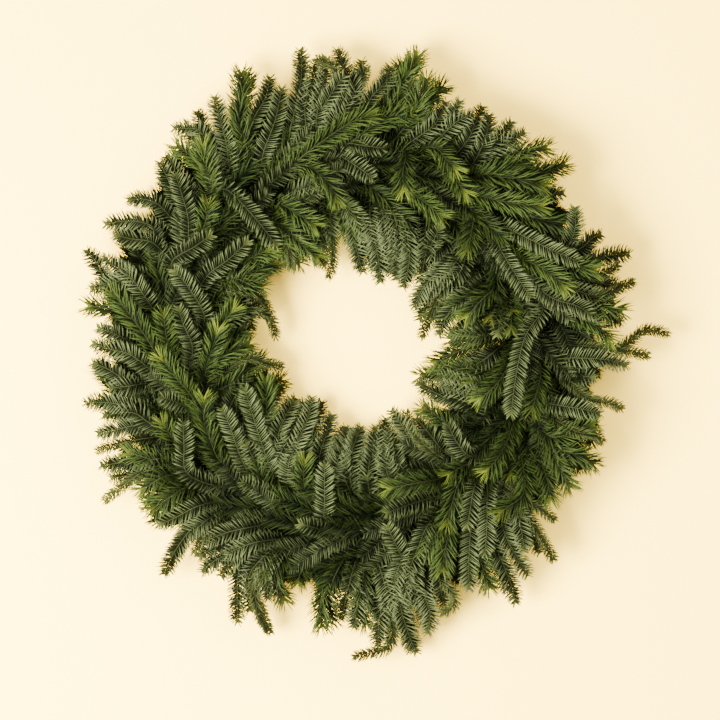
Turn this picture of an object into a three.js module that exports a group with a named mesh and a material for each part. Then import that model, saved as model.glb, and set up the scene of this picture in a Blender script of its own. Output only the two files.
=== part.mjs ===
// A fresh evergreen wreath lying on its back: sprays of fir laid round a wire ring, tips running
// clockwise, with their stems bound on by one long wire. Millimetres, +Z up, origin under its middle.

import * as THREE from "three";

const UP = new THREE.Vector3(0, 0, 1);

// Ring and binding wire

const RING_RADIUS = 178;
const RING_WIRE_RADIUS = 2;
const RING_HEIGHT = 3.6;
const RING_STEPS = 36;
const RING_SIDES = 6;

const BINDING_TURNS = 38;
// One turn of the binding wire round the ring and its three stems: out from the ring, and up.
const BINDING_LOOP = [[-3, 0.4], [3, 0.4], [7.6, 5.6], [2.8, 10.3], [-2.8, 10.3], [-7.6, 5.6]];
const BINDING_OUTER = 0.4;
const BINDING_INNER = 0.7;
const BINDING_HALF_WIDTH = 0.7;

// Stems lie in three lanes on the ring, each held by two turns of the wire.
// start is where a stem ends, in turns of the wire, so that its shoots leave between two turns.
// rank lifts a lane over the others where their shoots cross.

const SLOTS = BINDING_TURNS / 2;
const TURN_ANGLE = (2 * Math.PI) / BINDING_TURNS;
const STEM_RADIUS = 2;
const STEM_LENGTH = 51;
const STEM_MIDDLE = 33;
const STEM_ROLL = Math.PI / 6;
const LANES = {
  outer: { side: 3.4, height: 5.2, start: 1.653, rank: 0, colour: 0x4d5a2e },
  top: { side: 0, height: 8, start: 0.903, rank: 12, colour: 0x5f6c3c },
  inner: { side: -3.3, height: 5.2, start: 0.153, rank: 0, colour: 0x56643a },
};

// The first shoot of a spray leaves the stem's end, and the others its top, each further back.

const ROOT_FRONT = 2;
const ROOT_ROOM = 18;
const LONGEST_ROOT = 3.6;
const MOST_SHOOTS = 6;

// Kinds of shoot: grey-green fir, glossy fir with long needles, and slim old sprigs.

const KINDS = {
  silver: { needle: 12, lean: 56, spacing: 20, twig: 1.6 },
  glossy: { needle: 19, lean: 33, spacing: 22, twig: 1.6 },
  slim: { needle: 8.5, lean: 48, spacing: 18, twig: 1.4 },
};
const COLLAR_LENGTH = 2.6;
const COLLAR_TWIST = 0.55;
const NEEDLE_SPREAD = 0.44;
const TIP_RATIO = 0.7;
const TIP_NEEDLE = 0.6;
const NEEDLE_RADIUS = 1.2;
const LEAN_RANGE = 8;
const SHORTEST = 0.92;
const LENGTH_RANGE = 0.16;
const CLEAR = 0.3;
const SHORTER = [1, 0.78, 0.58];
const LOWEST = 0.6;

// The foliage is domed: highest over the ring, low at both rims.

const DOME_HEIGHT = 84;
const RIM_HEIGHT = 24;
const OUTER_REACH = 120;
const INNER_REACH = 100;
const CLIMB = 0.9;
const CLIMB_STEP = 0.3;
const LOOP_CLEARANCE = 12;
const LEAFY_FLOOR = 14;

// Where the shoots show, from tip back to base, in millimetres from the left and the top edge of a
// board under the wreath. The ring's middle is at BOARD.

const BOARD = { x: 354, y: 346 };
const SHOOTS = {
  outer: [
    ["glossy", 242, 68, 239, 127],
    ["silver", 215, 94, 220, 118, 228, 150],
    ["silver", 197, 109, 206, 135, 216, 156],
    ["silver", 171, 130, 186, 130, 205, 138],
    ["glossy", 173, 144, 190, 156, 207, 172],
    ["silver", 160, 160, 168, 178, 182, 208],
    ["silver", 126, 202, 142, 200, 163, 208],
    ["silver", 103, 226, 125, 222, 152, 226],
    ["silver", 86, 248, 99, 264, 116, 288],
    ["silver", 271, 75, 266, 100, 251, 130],
    ["silver", 300, 47, 302, 78, 293, 122, 285, 146],
    ["silver", 283, 86, 276, 122, 262, 165],
    ["slim", 314, 59, 327, 64, 338, 80],
    ["silver", 336, 47, 345, 72, 356, 100],
    ["silver", 347, 74, 330, 98, 313, 128],
    ["silver", 390, 64, 385, 85, 368, 104],
    ["glossy", 420, 51, 411, 70, 398, 90],
    ["glossy", 427, 75, 424, 92, 416, 110],
    ["silver", 409, 79, 416, 105, 427, 140],
    ["silver", 461, 99, 452, 116, 446, 132],
    ["silver", 475, 115, 458, 122, 440, 138],
    ["silver", 489, 113, 486, 135, 474, 162],
    ["silver", 513, 120, 500, 138, 482, 156],
    ["silver", 526, 131, 510, 143, 494, 152],
    ["glossy", 551, 148, 530, 152, 500, 158],
    ["glossy", 569, 163, 548, 172, 518, 180],
    ["silver", 573, 205, 574, 225, 566, 246],
    ["silver", 603, 234, 590, 239, 570, 252],
    ["silver", 632, 254, 608, 256, 582, 264],
    ["slim", 619, 264, 608, 271, 592, 277],
    ["glossy", 599, 271, 580, 268, 556, 264],
    ["slim", 635, 281, 619, 288, 590, 298],
    ["glossy", 626, 313, 605, 308, 580, 300],
    ["glossy", 612, 345, 600, 331, 572, 314],
    ["slim", 670, 335, 656, 331, 642, 330, 629, 341, 606, 351],
    ["slim", 650, 356, 634, 353, 604, 348],
    ["silver", 629, 366, 600, 359, 560, 357],
    ["silver", 596, 378, 580, 376, 556, 378],
    ["slim", 623, 410, 608, 402, 584, 396],
    ["silver", 602, 414, 582, 409, 552, 404],
    ["glossy", 597, 424, 575, 430, 548, 436],
    ["slim", 603, 443, 592, 434, 572, 430],
    ["glossy", 597, 467, 580, 455, 552, 446],
    ["glossy", 572, 491, 560, 470, 547, 446],
    ["glossy", 550, 505, 546, 480, 538, 455],
    ["slim", 555, 521, 540, 508, 518, 492],
    ["slim", 554, 562, 545, 544, 531, 520, 518, 500],
    ["silver", 523, 553, 521, 533, 513, 500],
    ["silver", 529, 578, 517, 557, 501, 524],
    ["silver", 516, 606, 511, 585, 502, 562, 492, 532],
    ["glossy", 491, 592, 485, 576, 476, 550],
    ["silver", 469, 592, 468, 560, 472, 520],
    ["silver", 427, 636, 430, 612, 424, 582],
    ["slim", 438, 613, 454, 604, 452, 590, 440, 570],
    ["silver", 418, 655, 408, 632, 398, 590],
    ["slim", 351, 657, 370, 652, 388, 648, 394, 628, 390, 604],
    ["silver", 379, 650, 378, 630, 382, 600],
    ["silver", 354, 630, 357, 606, 364, 578],
    ["glossy", 322, 631, 321, 602, 326, 568],
    ["glossy", 297, 587, 302, 568, 314, 544],
    ["slim", 272, 634, 262, 615, 256, 585],
    ["silver", 238, 625, 238, 598, 242, 562],
    ["silver", 201, 574, 214, 560, 240, 546],
    ["silver", 163, 577, 176, 550, 192, 528, 213, 508],
    ["glossy", 147, 512, 166, 500, 192, 484],
    ["glossy", 137, 491, 150, 485, 172, 474],
    ["slim", 103, 502, 122, 487, 144, 471],
    ["silver", 99, 466, 115, 463, 142, 458],
    ["glossy", 124, 451, 145, 456, 180, 468],
    ["slim", 96, 451, 115, 445, 145, 438],
    ["silver", 96, 434, 115, 430, 146, 424],
    ["silver", 83, 403, 105, 402, 142, 408],
    ["silver", 91, 362, 112, 370, 142, 392],
    ["silver", 96, 327, 116, 334, 144, 348],
    ["glossy", 84, 306, 100, 307, 122, 312],
  ],
  top: [
    ["glossy", 204, 141, 205, 160, 210, 182],
    ["silver", 176, 172, 184, 198, 190, 226],
    ["glossy", 211, 200, 207, 222, 198, 246],
    ["silver", 216, 234, 196, 248, 172, 264],
    ["silver", 252, 240, 228, 262, 204, 282],
    ["silver", 173, 268, 190, 288, 206, 322],
    ["glossy", 109, 289, 128, 310, 152, 344],
    ["glossy", 165, 309, 167, 330, 172, 360],
    ["glossy", 159, 353, 178, 378, 198, 404],
    ["silver", 160, 395, 178, 402, 200, 412],
    ["glossy", 161, 417, 171, 432, 184, 450],
    ["glossy", 206, 392, 205, 415, 213, 445],
    ["silver", 185, 418, 186, 446, 192, 476],
    ["silver", 222, 405, 231, 425, 240, 452],
    ["silver", 240, 479, 260, 489, 288, 502],
    ["glossy", 306, 455, 304, 480, 312, 520],
    ["silver", 325, 460, 325, 492, 328, 535],
    ["silver", 386, 520, 394, 540, 410, 562],
    ["silver", 382, 513, 410, 503, 452, 490],
    ["glossy", 382, 488, 405, 484, 440, 478],
    ["glossy", 441, 574, 445, 545, 455, 508],
    ["silver", 484, 556, 486, 520, 488, 486],
    ["glossy", 443, 477, 460, 466, 490, 450],
    ["glossy", 480, 474, 494, 460, 508, 436],
    ["glossy", 493, 514, 507, 505, 524, 486],
    ["silver", 446, 420, 455, 440, 474, 456],
    ["glossy", 473, 403, 488, 391, 504, 372],
    ["glossy", 529, 416, 534, 396, 540, 366],
    ["silver", 509, 418, 514, 378, 524, 335, 544, 302],
    ["silver", 592, 318, 575, 306, 548, 297],
    ["silver", 580, 264, 550, 251, 508, 230],
    ["glossy", 567, 292, 545, 271, 512, 254],
    ["silver", 531, 301, 512, 272, 490, 234],
    ["glossy", 462, 322, 479, 302, 501, 280],
    ["glossy", 547, 208, 518, 206, 486, 199],
    ["glossy", 548, 190, 528, 183, 492, 178],
    ["glossy", 465, 257, 470, 236, 470, 206],
    ["glossy", 460, 176, 446, 162, 428, 148],
    ["glossy", 469, 199, 458, 186, 444, 168],
    ["glossy", 404, 198, 402, 176, 403, 152],
    ["glossy", 446, 222, 434, 212, 414, 196],
    ["glossy", 377, 116, 350, 125, 304, 157],
    ["silver", 376, 182, 345, 160, 322, 150],
    ["glossy", 340, 207, 325, 180, 296, 166],
    ["silver", 280, 250, 254, 217, 222, 189],
  ],
  inner: [
    ["glossy", 321, 230, 302, 218, 270, 202],
    ["glossy", 323, 262, 302, 245, 272, 222],
    ["slim", 328, 280, 333, 262, 333, 234],
    ["glossy", 277, 249, 256, 256, 230, 270],
    ["slim", 291, 272, 291, 258, 282, 238],
    ["glossy", 268, 288, 248, 285, 222, 293],
    ["slim", 276, 340, 273, 322, 260, 312, 238, 320],
    ["glossy", 240, 305, 228, 318, 214, 336],
    ["glossy", 221, 325, 213, 350, 206, 376],
    ["slim", 285, 366, 268, 364, 248, 357, 224, 372],
    ["glossy", 266, 375, 267, 398, 264, 424],
    ["silver", 245, 384, 252, 410, 272, 470],
    ["silver", 245, 440, 254, 456, 266, 482],
    ["silver", 297, 398, 286, 416, 278, 446],
    ["silver", 313, 394, 307, 422, 288, 468],
    ["silver", 333, 411, 326, 436, 320, 466],
    ["silver", 362, 423, 352, 450, 342, 484],
    ["silver", 376, 423, 373, 452, 367, 500],
    ["silver", 389, 407, 403, 427, 430, 472],
    ["glossy", 417, 407, 430, 411, 456, 430],
    ["silver", 415, 382, 434, 392, 462, 402],
    ["glossy", 428, 366, 446, 357, 490, 338],
    ["silver", 461, 362, 484, 357, 514, 346],
    ["silver", 446, 332, 470, 329, 506, 330],
    ["silver", 437, 338, 450, 310, 484, 254],
    ["slim", 420, 340, 428, 322, 440, 296],
    ["silver", 413, 311, 424, 286, 454, 251],
    ["silver", 402, 291, 409, 262, 408, 214],
    ["silver", 380, 286, 378, 258, 366, 212],
    ["silver", 364, 276, 357, 252, 345, 214],
  ],
};

// Even steps of each shoot's path, from the stem to the tip, and how tightly it bends at its points.

const SAMPLES = 12;
const CURVE_TENSION = 0.5;

// How far apart two paths settle where they pass each other, and how near in plan counts.

const CROSSING_GAP = 7.4;
const CROSSING_REACH = 6.8;
const SIBLING_START = 12;
const SETTLING_SWEEPS = 240;
const FAR_STEPS = 40;
const PUSH_SHARE = 0.5;
const PULL_BACK = 0.03;
const SMOOTHING = 0.25;

// Random numbers from 0 to 1, the same on every run: each is the one before it times a factor,
// taken back into a prime range.

const RANDOM_FACTOR = 16807;
const RANDOM_RANGE = 2147483647;
let seed = 20;

function random() {
  seed = (seed * RANDOM_FACTOR) % RANDOM_RANGE;
  return seed / RANDOM_RANGE;
}

function polar(radius, angle, height) {
  return new THREE.Vector3(radius * Math.cos(angle), radius * Math.sin(angle), height);
}

function fromBoard(x, y) {
  return new THREE.Vector3(x - BOARD.x, BOARD.y - y, 0);
}

function slotAngle(lane, slot) {
  return (2 * slot + LANES[lane].start) * TURN_ANGLE;
}

// A point on a stem's middle line, back from the end that its shoots leave.

function stemPoint(lane, slot, back) {
  const { side, height } = LANES[lane];
  const radius = RING_RADIUS + side;
  return polar(radius, slotAngle(lane, slot) + back / radius, height);
}

function turnBetween(angle, other) {
  return Math.atan2(Math.sin(angle - other), Math.cos(angle - other));
}

function domeHeight(radius) {
  const reach = radius > RING_RADIUS ? OUTER_REACH : INNER_REACH;
  const off = Math.min(Math.abs(radius - RING_RADIUS) / reach, 1);
  return RIM_HEIGHT + (DOME_HEIGHT - RIM_HEIGHT) * (1 - off * off);
}

// Each shoot grows from the stem that lies nearest behind its base, in its own lane.

const BEHIND_BASE = 25;
const UPSTREAM = 0.07;
const CROWDING = 3;

function chooseSlot(lane, [base, next], loads) {
  const behind = base.clone().addScaledVector(next.clone().sub(base).normalize(), -BEHIND_BASE);
  const wanted = Math.atan2(behind.y, behind.x) + UPSTREAM;
  let best = 0;
  let bestCost = Infinity;
  for (let slot = 0; slot < SLOTS; slot += 1) {
    const away = Math.abs(turnBetween(wanted, slotAngle(lane, slot))) * RING_RADIUS;
    const cost = away + CROWDING * loads[slot];
    if (cost < bestCost && loads[slot] < MOST_SHOOTS) {
      best = slot;
      bestCost = cost;
    }
  }
  return best;
}

// Where a shoot leaves its stem: first at its end, then on its flat top.

function rootLength(count) {
  return Math.min(LONGEST_ROOT, ROOT_ROOM / (count - 1));
}

function rootBack(order, count) {
  return order === 0 ? 0 : ROOT_FRONT + rootLength(count) * (order - 0.5);
}

function makeShoot(lane, slot, order, count, kind, points) {
  const root = stemPoint(lane, slot, rootBack(order, count));
  if (order > 0) root.z += STEM_RADIUS / 2;
  const anchor = root.clone().setZ(0);
  const curve = new THREE.CatmullRomCurve3([anchor, ...points], false, "catmullrom", CURVE_TENSION);
  const path = [];
  const along = [0];
  for (let k = 0; k <= SAMPLES; k += 1) {
    path.push(curve.getPoint(k / SAMPLES));
    if (k > 0) along.push(along[k - 1] + path[k].distanceTo(path[k - 1]));
  }
  const base = along[Math.round(SAMPLES / points.length)];
  const climb = CLIMB + CLIMB_STEP * order;
  const natural = path.map((point, k) => {
    const surface = domeHeight(Math.hypot(point.x, point.y));
    return Math.min(root.z + climb * along[k], surface);
  });
  const floor = along.map((d) => {
    const low = root.z + Math.min(CLIMB * d, LOOP_CLEARANCE);
    return d > base ? Math.max(low, LEAFY_FLOOR) : low;
  });
  const { rank } = LANES[lane];
  return { lane, slot, order, kind, path, along, base, rank, natural, floor, height: [...natural] };
}

// The shoots of one stem fan out: the one whose base lies nearest straight ahead leaves its end.

function makeShoots() {
  const shoots = [];
  for (const lane of Object.keys(LANES)) {
    const loads = new Array(SLOTS).fill(0);
    const planned = SHOOTS[lane].map(([kind, ...numbers]) => {
      const points = [];
      for (let k = 0; k < numbers.length; k += 2) {
        points.unshift(fromBoard(numbers[k], numbers[k + 1]));
      }
      const slot = chooseSlot(lane, points, loads);
      loads[slot] += 1;
      const away = points[0].clone().sub(stemPoint(lane, slot, 0));
      const turn = Math.abs(turnBetween(Math.atan2(away.y, away.x), slotAngle(lane, slot) - Math.PI / 2));
      return { slot, kind, points, turn };
    });
    for (let slot = 0; slot < SLOTS; slot += 1) {
      const members = planned.filter((shoot) => shoot.slot === slot).sort((a, b) => a.turn - b.turn);
      members.forEach(({ kind, points }, order) => {
        shoots.push(makeShoot(lane, slot, order, members.length, kind, points));
      });
    }
  }
  return shoots;
}

// Two steps of paths that pass near each other in plan, with the shares of each step at which they
// are nearest. The path that has run further from its stem lies on top, as shingles do. Of the
// shoots of one stem, the one that leaves it further back lies on top.

function crossingOf(one, a, other, b) {
  const [p, q] = [one.path[a - 1], other.path[b - 1]];
  const [ux, uy] = [one.path[a].x - p.x, one.path[a].y - p.y];
  const [vx, vy] = [other.path[b].x - q.x, other.path[b].y - q.y];
  const [wx, wy] = [p.x - q.x, p.y - q.y];
  const [share, otherShare] = nearestShares(
    ux * ux + uy * uy, ux * vx + uy * vy, vx * vx + vy * vy, ux * wx + uy * wy, vx * wx + vy * wy);
  const apart = Math.hypot(wx + ux * share - vx * otherShare, wy + uy * share - vy * otherShare);
  if (apart > CROSSING_REACH) return null;
  const run = THREE.MathUtils.lerp(one.along[a - 1], one.along[a], share);
  const otherRun = THREE.MathUtils.lerp(other.along[b - 1], other.along[b], otherShare);
  const siblings = one.lane === other.lane && one.slot === other.slot;
  if (siblings && Math.min(run, otherRun) < SIBLING_START) return null;
  const gap = Math.sqrt(CROSSING_GAP * CROSSING_GAP - apart * apart);
  const upper = { shoot: one, step: a, share };
  const lower = { shoot: other, step: b, share: otherShare };
  const above = siblings ? one.order > other.order : run + one.rank >= otherRun + other.rank;
  return above ? { upper, lower, gap } : { upper: lower, lower: upper, gap };
}

function findCrossings(shoots) {
  const crossings = [];
  shoots.forEach((one, i) => {
    for (const other of shoots.slice(i + 1)) {
      for (let a = 1; a <= SAMPLES; a += 1) {
        for (let b = 1; b <= SAMPLES; b += 1) {
          if (one.path[a].distanceTo(other.path[b]) > FAR_STEPS) continue;
          const crossing = crossingOf(one, a, other, b);
          if (crossing) crossings.push(crossing);
        }
      }
    }
  });
  return crossings;
}

function heightAt({ shoot, step, share }) {
  return THREE.MathUtils.lerp(shoot.height[step - 1], shoot.height[step], share);
}

function push(pushes, { step, share }, lack) {
  pushes[step - 1] = Math.max(pushes[step - 1], lack * Math.min(1, 2 * (1 - share)));
  pushes[step] = Math.max(pushes[step], lack * Math.min(1, 2 * share));
}

// Heights settle in small steps: crossing paths push each other apart, each stays smooth, keeps
// clear of the binding wire, and is drawn back towards its own dome height.

function settleHeights(shoots) {
  const crossings = findCrossings(shoots);
  for (let sweep = 0; sweep < SETTLING_SWEEPS; sweep += 1) {
    for (const shoot of shoots) {
      shoot.up = new Array(SAMPLES + 1).fill(0);
      shoot.down = new Array(SAMPLES + 1).fill(0);
    }
    for (const { upper, lower, gap } of crossings) {
      const lack = gap - (heightAt(upper) - heightAt(lower));
      if (lack <= 0) continue;
      push(upper.shoot.up, upper, lack);
      push(lower.shoot.down, lower, lack);
    }
    for (const { height, natural, floor, up, down } of shoots) {
      const z = height.map((h, k) => h + PUSH_SHARE * (up[k] - down[k]) + PULL_BACK * (natural[k] - h));
      for (let k = 1; k <= SAMPLES; k += 1) {
        const after = k < SAMPLES ? z[k + 1] : 2 * z[k] - z[k - 1];
        const smooth = (1 - SMOOTHING) * z[k] + (SMOOTHING / 2) * (z[k - 1] + after);
        height[k] = Math.max(smooth, floor[k]);
      }
    }
  }
  for (const { path, height } of shoots) {
    path.forEach((point, k) => {
      point.z = height[k];
    });
  }
}

// The point of a path at a distance along it.

function pointAt(shoot, distance) {
  const { path, along } = shoot;
  let k = 1;
  while (k < path.length - 1 && along[k] < distance) k += 1;
  const share = (distance - along[k - 1]) / (along[k] - along[k - 1]);
  return path[k - 1].clone().lerp(path[k], share);
}

// A record of every twig and needle as a line with a radius, to keep needles clear of all else.
// place counts the steps along a shoot. A needle's root, but no more of it, may lie near what
// grows in the steps beside its own.

const CELL = 14;
const THICKEST = 2.5;
const ROOT_SHARE = 0.35;

class Clearances {
  constructor() {
    this.cells = new Map();
  }

  keys(a, b, margin) {
    const keys = [];
    const low = a.clone().min(b).subScalar(margin).divideScalar(CELL).floor();
    const high = a.clone().max(b).addScalar(margin).divideScalar(CELL).floor();
    for (let x = low.x; x <= high.x; x += 1) {
      for (let y = low.y; y <= high.y; y += 1) {
        for (let z = low.z; z <= high.z; z += 1) keys.push(`${x},${y},${z}`);
      }
    }
    return keys;
  }

  add(owner, place, a, b, radius) {
    const line = { owner, place, a: a.clone(), b: b.clone(), radius };
    for (const key of this.keys(a, b, radius)) {
      if (!this.cells.has(key)) this.cells.set(key, []);
      this.cells.get(key).push(line);
    }
  }

  free(owner, place, a, b, radius) {
    for (const key of this.keys(a, b, radius + THICKEST)) {
      for (const line of this.cells.get(key) ?? []) {
        const beside = line.owner === owner ? Math.abs(line.place - place) : 2;
        if (beside === 0) continue;
        const from = beside === 1 ? a.clone().lerp(b, ROOT_SHARE) : a;
        if (lineGap(from, b, line.a, line.b) < radius + line.radius + CLEAR) return false;
      }
    }
    return true;
  }
}

// The shares of two straight lines with ends at which they are nearest, from the products of their
// lengths u and v and of w, which runs between their starts.

const PARALLEL = 1e-9;

function nearestShares(uu, uv, vv, uw, vw) {
  const spread = uu * vv - uv * uv;
  const first = spread > PARALLEL ? THREE.MathUtils.clamp((uv * vw - vv * uw) / spread, 0, 1) : 0;
  const otherShare = THREE.MathUtils.clamp((uv * first + vw) / vv, 0, 1);
  return [THREE.MathUtils.clamp((uv * otherShare - uw) / uu, 0, 1), otherShare];
}

function lineGap(a, b, c, d) {
  const u = b.clone().sub(a);
  const v = d.clone().sub(c);
  const w = a.clone().sub(c);
  const [s, t] = nearestShares(u.dot(u), u.dot(v), v.dot(v), u.dot(w), v.dot(w));
  return w.addScaledVector(u, s).addScaledVector(v, -t).length();
}

// Three-sided twigs: a section at each station, and needles raised from the triangles of collars.

function sectionFrame(before, after, lastSide) {
  const tangent = after.clone().sub(before).normalize();
  const side = lastSide.clone().addScaledVector(tangent, -lastSide.dot(tangent)).normalize();
  const up = new THREE.Vector3().crossVectors(tangent, side);
  return { tangent, side, up };
}

function around(frame, angle) {
  const across = frame.side.clone().multiplyScalar(Math.cos(angle));
  return across.addScaledVector(frame.up, Math.sin(angle));
}

class TwigMesh {
  constructor() {
    this.vertices = [];
    this.faces = [];
  }

  vertex(point) {
    this.vertices.push(point.x, point.y, point.z);
    return this.vertices.length / 3 - 1;
  }

  section(point, frame, radius, roll) {
    return [0, 1, 2].map((k) => {
      const out = around(frame, roll + (k * 2 * Math.PI) / 3);
      return this.vertex(point.clone().addScaledVector(out, radius));
    });
  }

  raise(face, tip) {
    const [a, b, c] = face;
    const top = this.vertex(tip);
    this.faces.push([a, b, top], [b, c, top], [c, a, top]);
  }

  middle(face) {
    const sum = new THREE.Vector3();
    for (const k of face) sum.add(new THREE.Vector3().fromArray(this.vertices, 3 * k));
    return sum.divideScalar(3);
  }

  band(low, high) {
    const faces = [];
    for (let k = 0; k < 3; k += 1) {
      const n = (k + 1) % 3;
      faces.push({ face: [low[k], low[n], high[n]], k, lean: 1 });
      faces.push({ face: [low[k], high[n], high[k]], k, lean: -1 });
    }
    return faces;
  }

  geometry() {
    const geometry = new THREE.BufferGeometry();
    geometry.setAttribute("position", new THREE.Float32BufferAttribute(this.vertices, 3));
    geometry.setIndex(this.faces.flat());
    return geometry;
  }
}

// Stations along a shoot: bare twig up to its base, then collars spread evenly to the last one,
// from which the shoot's own end is raised as one more needle.

const FIRST_STATION = 6;
const LONG_BASE = 36;
const LAST_PLACE = 99;

function stationsOf(shoot) {
  const { needle, spacing, twig } = KINDS[shoot.kind];
  const length = shoot.along[SAMPLES] - needle * TIP_NEEDLE;
  const stations = [{ at: FIRST_STATION }];
  if (shoot.base > LONG_BASE) stations.push({ at: (FIRST_STATION + shoot.base) / 2 });
  const start = Math.max(shoot.base, 2 * FIRST_STATION);
  const leafy = length - COLLAR_LENGTH - start;
  const collars = Math.max(3, Math.round(leafy / spacing) + 1);
  for (let k = 0; k < collars; k += 1) {
    const at = start + (leafy * k) / (collars - 1);
    stations.push({ at, collar: true }, { at: at + COLLAR_LENGTH });
  }
  for (const station of stations) {
    station.radius = twig * (1 - (1 - TIP_RATIO) * (station.at / length));
  }
  return stations;
}

function recordTwig(shoot, clearances) {
  let from = shoot.path[0];
  stationsOf(shoot).forEach(({ at, radius }, place) => {
    const to = pointAt(shoot, at);
    clearances.add(shoot, place, from, to, radius);
    from = to;
  });
  clearances.add(shoot, LAST_PLACE, from, shoot.path[SAMPLES], NEEDLE_RADIUS);
}

function growNeedle(mesh, shoot, place, part, frame, azimuth, clearances) {
  const kind = KINDS[shoot.kind];
  const root = mesh.middle(part.face);
  const lean = THREE.MathUtils.degToRad(kind.lean + LEAN_RANGE * (random() - 0.5));
  const out = around(frame, azimuth).multiplyScalar(Math.sin(lean));
  const heading = out.addScaledVector(frame.tangent, Math.cos(lean));
  const full = kind.needle * (SHORTEST + LENGTH_RANGE * random());
  for (const share of SHORTER) {
    const tip = root.clone().addScaledVector(heading, full * share);
    if (tip.z < LOWEST || !clearances.free(shoot, place, root, tip, NEEDLE_RADIUS)) continue;
    clearances.add(shoot, place, root, tip, NEEDLE_RADIUS);
    mesh.raise(part.face, tip);
    return;
  }
  mesh.faces.push(part.face);
}

// A shoot grows from one three-sided face of its stem, and turns as little as it can on its way.

function growShoot(mesh, shoot, face, clearances) {
  const length = shoot.along[SAMPLES];
  let low = face;
  let side = new THREE.Vector3().fromArray(mesh.vertices, 3 * face[0]).sub(mesh.middle(face));
  let roll = 0;
  let onCollar = false;
  stationsOf(shoot).forEach((station, place) => {
    const before = pointAt(shoot, Math.max(station.at - FIRST_STATION, 0));
    const after = pointAt(shoot, Math.min(station.at + FIRST_STATION, length));
    const frame = sectionFrame(before, after, side);
    if (place > 0 && !onCollar) roll += COLLAR_TWIST;
    const high = mesh.section(pointAt(shoot, station.at), frame, station.radius, roll);
    for (const part of mesh.band(low, high)) {
      const azimuth = roll + ((part.k * 2 + 1) * Math.PI) / 3 + part.lean * NEEDLE_SPREAD;
      if (onCollar) growNeedle(mesh, shoot, place, part, frame, azimuth, clearances);
      else mesh.faces.push(part.face);
    }
    low = high;
    side = frame.side;
    onCollar = station.collar;
  });
  mesh.raise(low, shoot.path[SAMPLES]);
}

// The stem lies along the ring behind its shoots. The first leaves its front end, and each of the
// others a face of its flat top, between two of the sections past its middle.

const TOP_SIDE = 0;

function growSpray(lane, slot, shoots, clearances) {
  const mesh = new TwigMesh();
  const backs = [STEM_LENGTH, STEM_MIDDLE];
  for (let order = shoots.length - 1; order > 0; order -= 1) {
    backs.push(rootBack(order, shoots.length) + rootLength(shoots.length) / 2);
  }
  if (shoots.length > 1) backs.push(ROOT_FRONT);
  backs.push(0);
  const roots = [];
  let low = null;
  backs.forEach((back, k) => {
    const point = stemPoint(lane, slot, back);
    const [behind, ahead] = [stemPoint(lane, slot, back + 1), stemPoint(lane, slot, back - 1)];
    const across = new THREE.Vector3().crossVectors(UP, ahead.clone().sub(behind));
    const frame = sectionFrame(behind, ahead, across);
    const high = mesh.section(point, frame, STEM_RADIUS, STEM_ROLL);
    const sprouts = k > 2 && k < backs.length - 1;
    if (low === null) {
      mesh.faces.push([high[2], high[1], high[0]]);
    } else {
      for (const part of mesh.band(low, high)) {
        if (sprouts && part.k === TOP_SIDE && part.lean === 1) roots.unshift(part.face);
        else mesh.faces.push(part.face);
      }
    }
    low = high;
  });
  roots.unshift(low);
  shoots.forEach((shoot, order) => growShoot(mesh, shoot, roots[order], clearances));
  return mesh.geometry();
}

// The binding wire winds round ring and stems, one closed wire with its flat side outwards.

function bindingPoint(turn, corner, out, along) {
  const [u, z] = BINDING_LOOP[corner];
  const count = BINDING_LOOP.length;
  const [nu, nz] = BINDING_LOOP[(corner + 1) % count];
  const [pu, pz] = BINDING_LOOP[(corner + count - 1) % count];
  let normal = new THREE.Vector2(nz - pz, pu - nu).normalize();
  if (corner < 2) normal = new THREE.Vector2(0, -1);
  const angle = (turn + corner / count) * TURN_ANGLE + along / RING_RADIUS;
  return polar(RING_RADIUS + u + normal.x * out, angle, z + normal.y * out);
}

function bindingGeometry() {
  const mesh = new TwigMesh();
  const rings = [];
  for (let turn = 0; turn < BINDING_TURNS; turn += 1) {
    for (let corner = 0; corner < BINDING_LOOP.length; corner += 1) {
      rings.push([
        mesh.vertex(bindingPoint(turn, corner, BINDING_OUTER, -BINDING_HALF_WIDTH)),
        mesh.vertex(bindingPoint(turn, corner, BINDING_OUTER, BINDING_HALF_WIDTH)),
        mesh.vertex(bindingPoint(turn, corner, -BINDING_INNER, 0)),
      ]);
    }
  }
  rings.forEach((low, k) => {
    const high = rings[(k + 1) % rings.length];
    mesh.faces.push(...mesh.band(low, high).map((part) => part.face));
  });
  return mesh.geometry();
}

function recordBinding(clearances) {
  const count = BINDING_LOOP.length;
  for (let k = 0; k < BINDING_TURNS * count; k += 1) {
    const from = bindingPoint(Math.floor(k / count), k % count, 0, 0);
    const to = bindingPoint(Math.floor((k + 1) / count), (k + 1) % count, 0, 0);
    clearances.add("binding", 0, from, to, BINDING_HALF_WIDTH);
  }
}

function recordRing(clearances) {
  for (let k = 0; k < RING_STEPS; k += 1) {
    const step = (2 * Math.PI) / RING_STEPS;
    const from = polar(RING_RADIUS, k * step, RING_HEIGHT);
    const to = polar(RING_RADIUS, (k + 1) * step, RING_HEIGHT);
    clearances.add("ring", 0, from, to, RING_WIRE_RADIUS);
  }
}

// Materials and assembly

const RING_LOOK = { color: 0x38402f, roughness: 0.5, metalness: 0.7 };
const BINDING_LOOK = { color: 0x2f3a2a, roughness: 0.45, metalness: 0.6 };
const FOLIAGE_ROUGHNESS = 0.75;

function named(name, geometry, look) {
  const mesh = new THREE.Mesh(geometry, new THREE.MeshStandardMaterial(look));
  mesh.name = name;
  return mesh;
}

function makeRing() {
  const geometry = new THREE.TorusGeometry(RING_RADIUS, RING_WIRE_RADIUS, RING_SIDES, RING_STEPS);
  const ring = named("wire_ring", geometry, RING_LOOK);
  ring.position.z = RING_HEIGHT;
  return ring;
}

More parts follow.
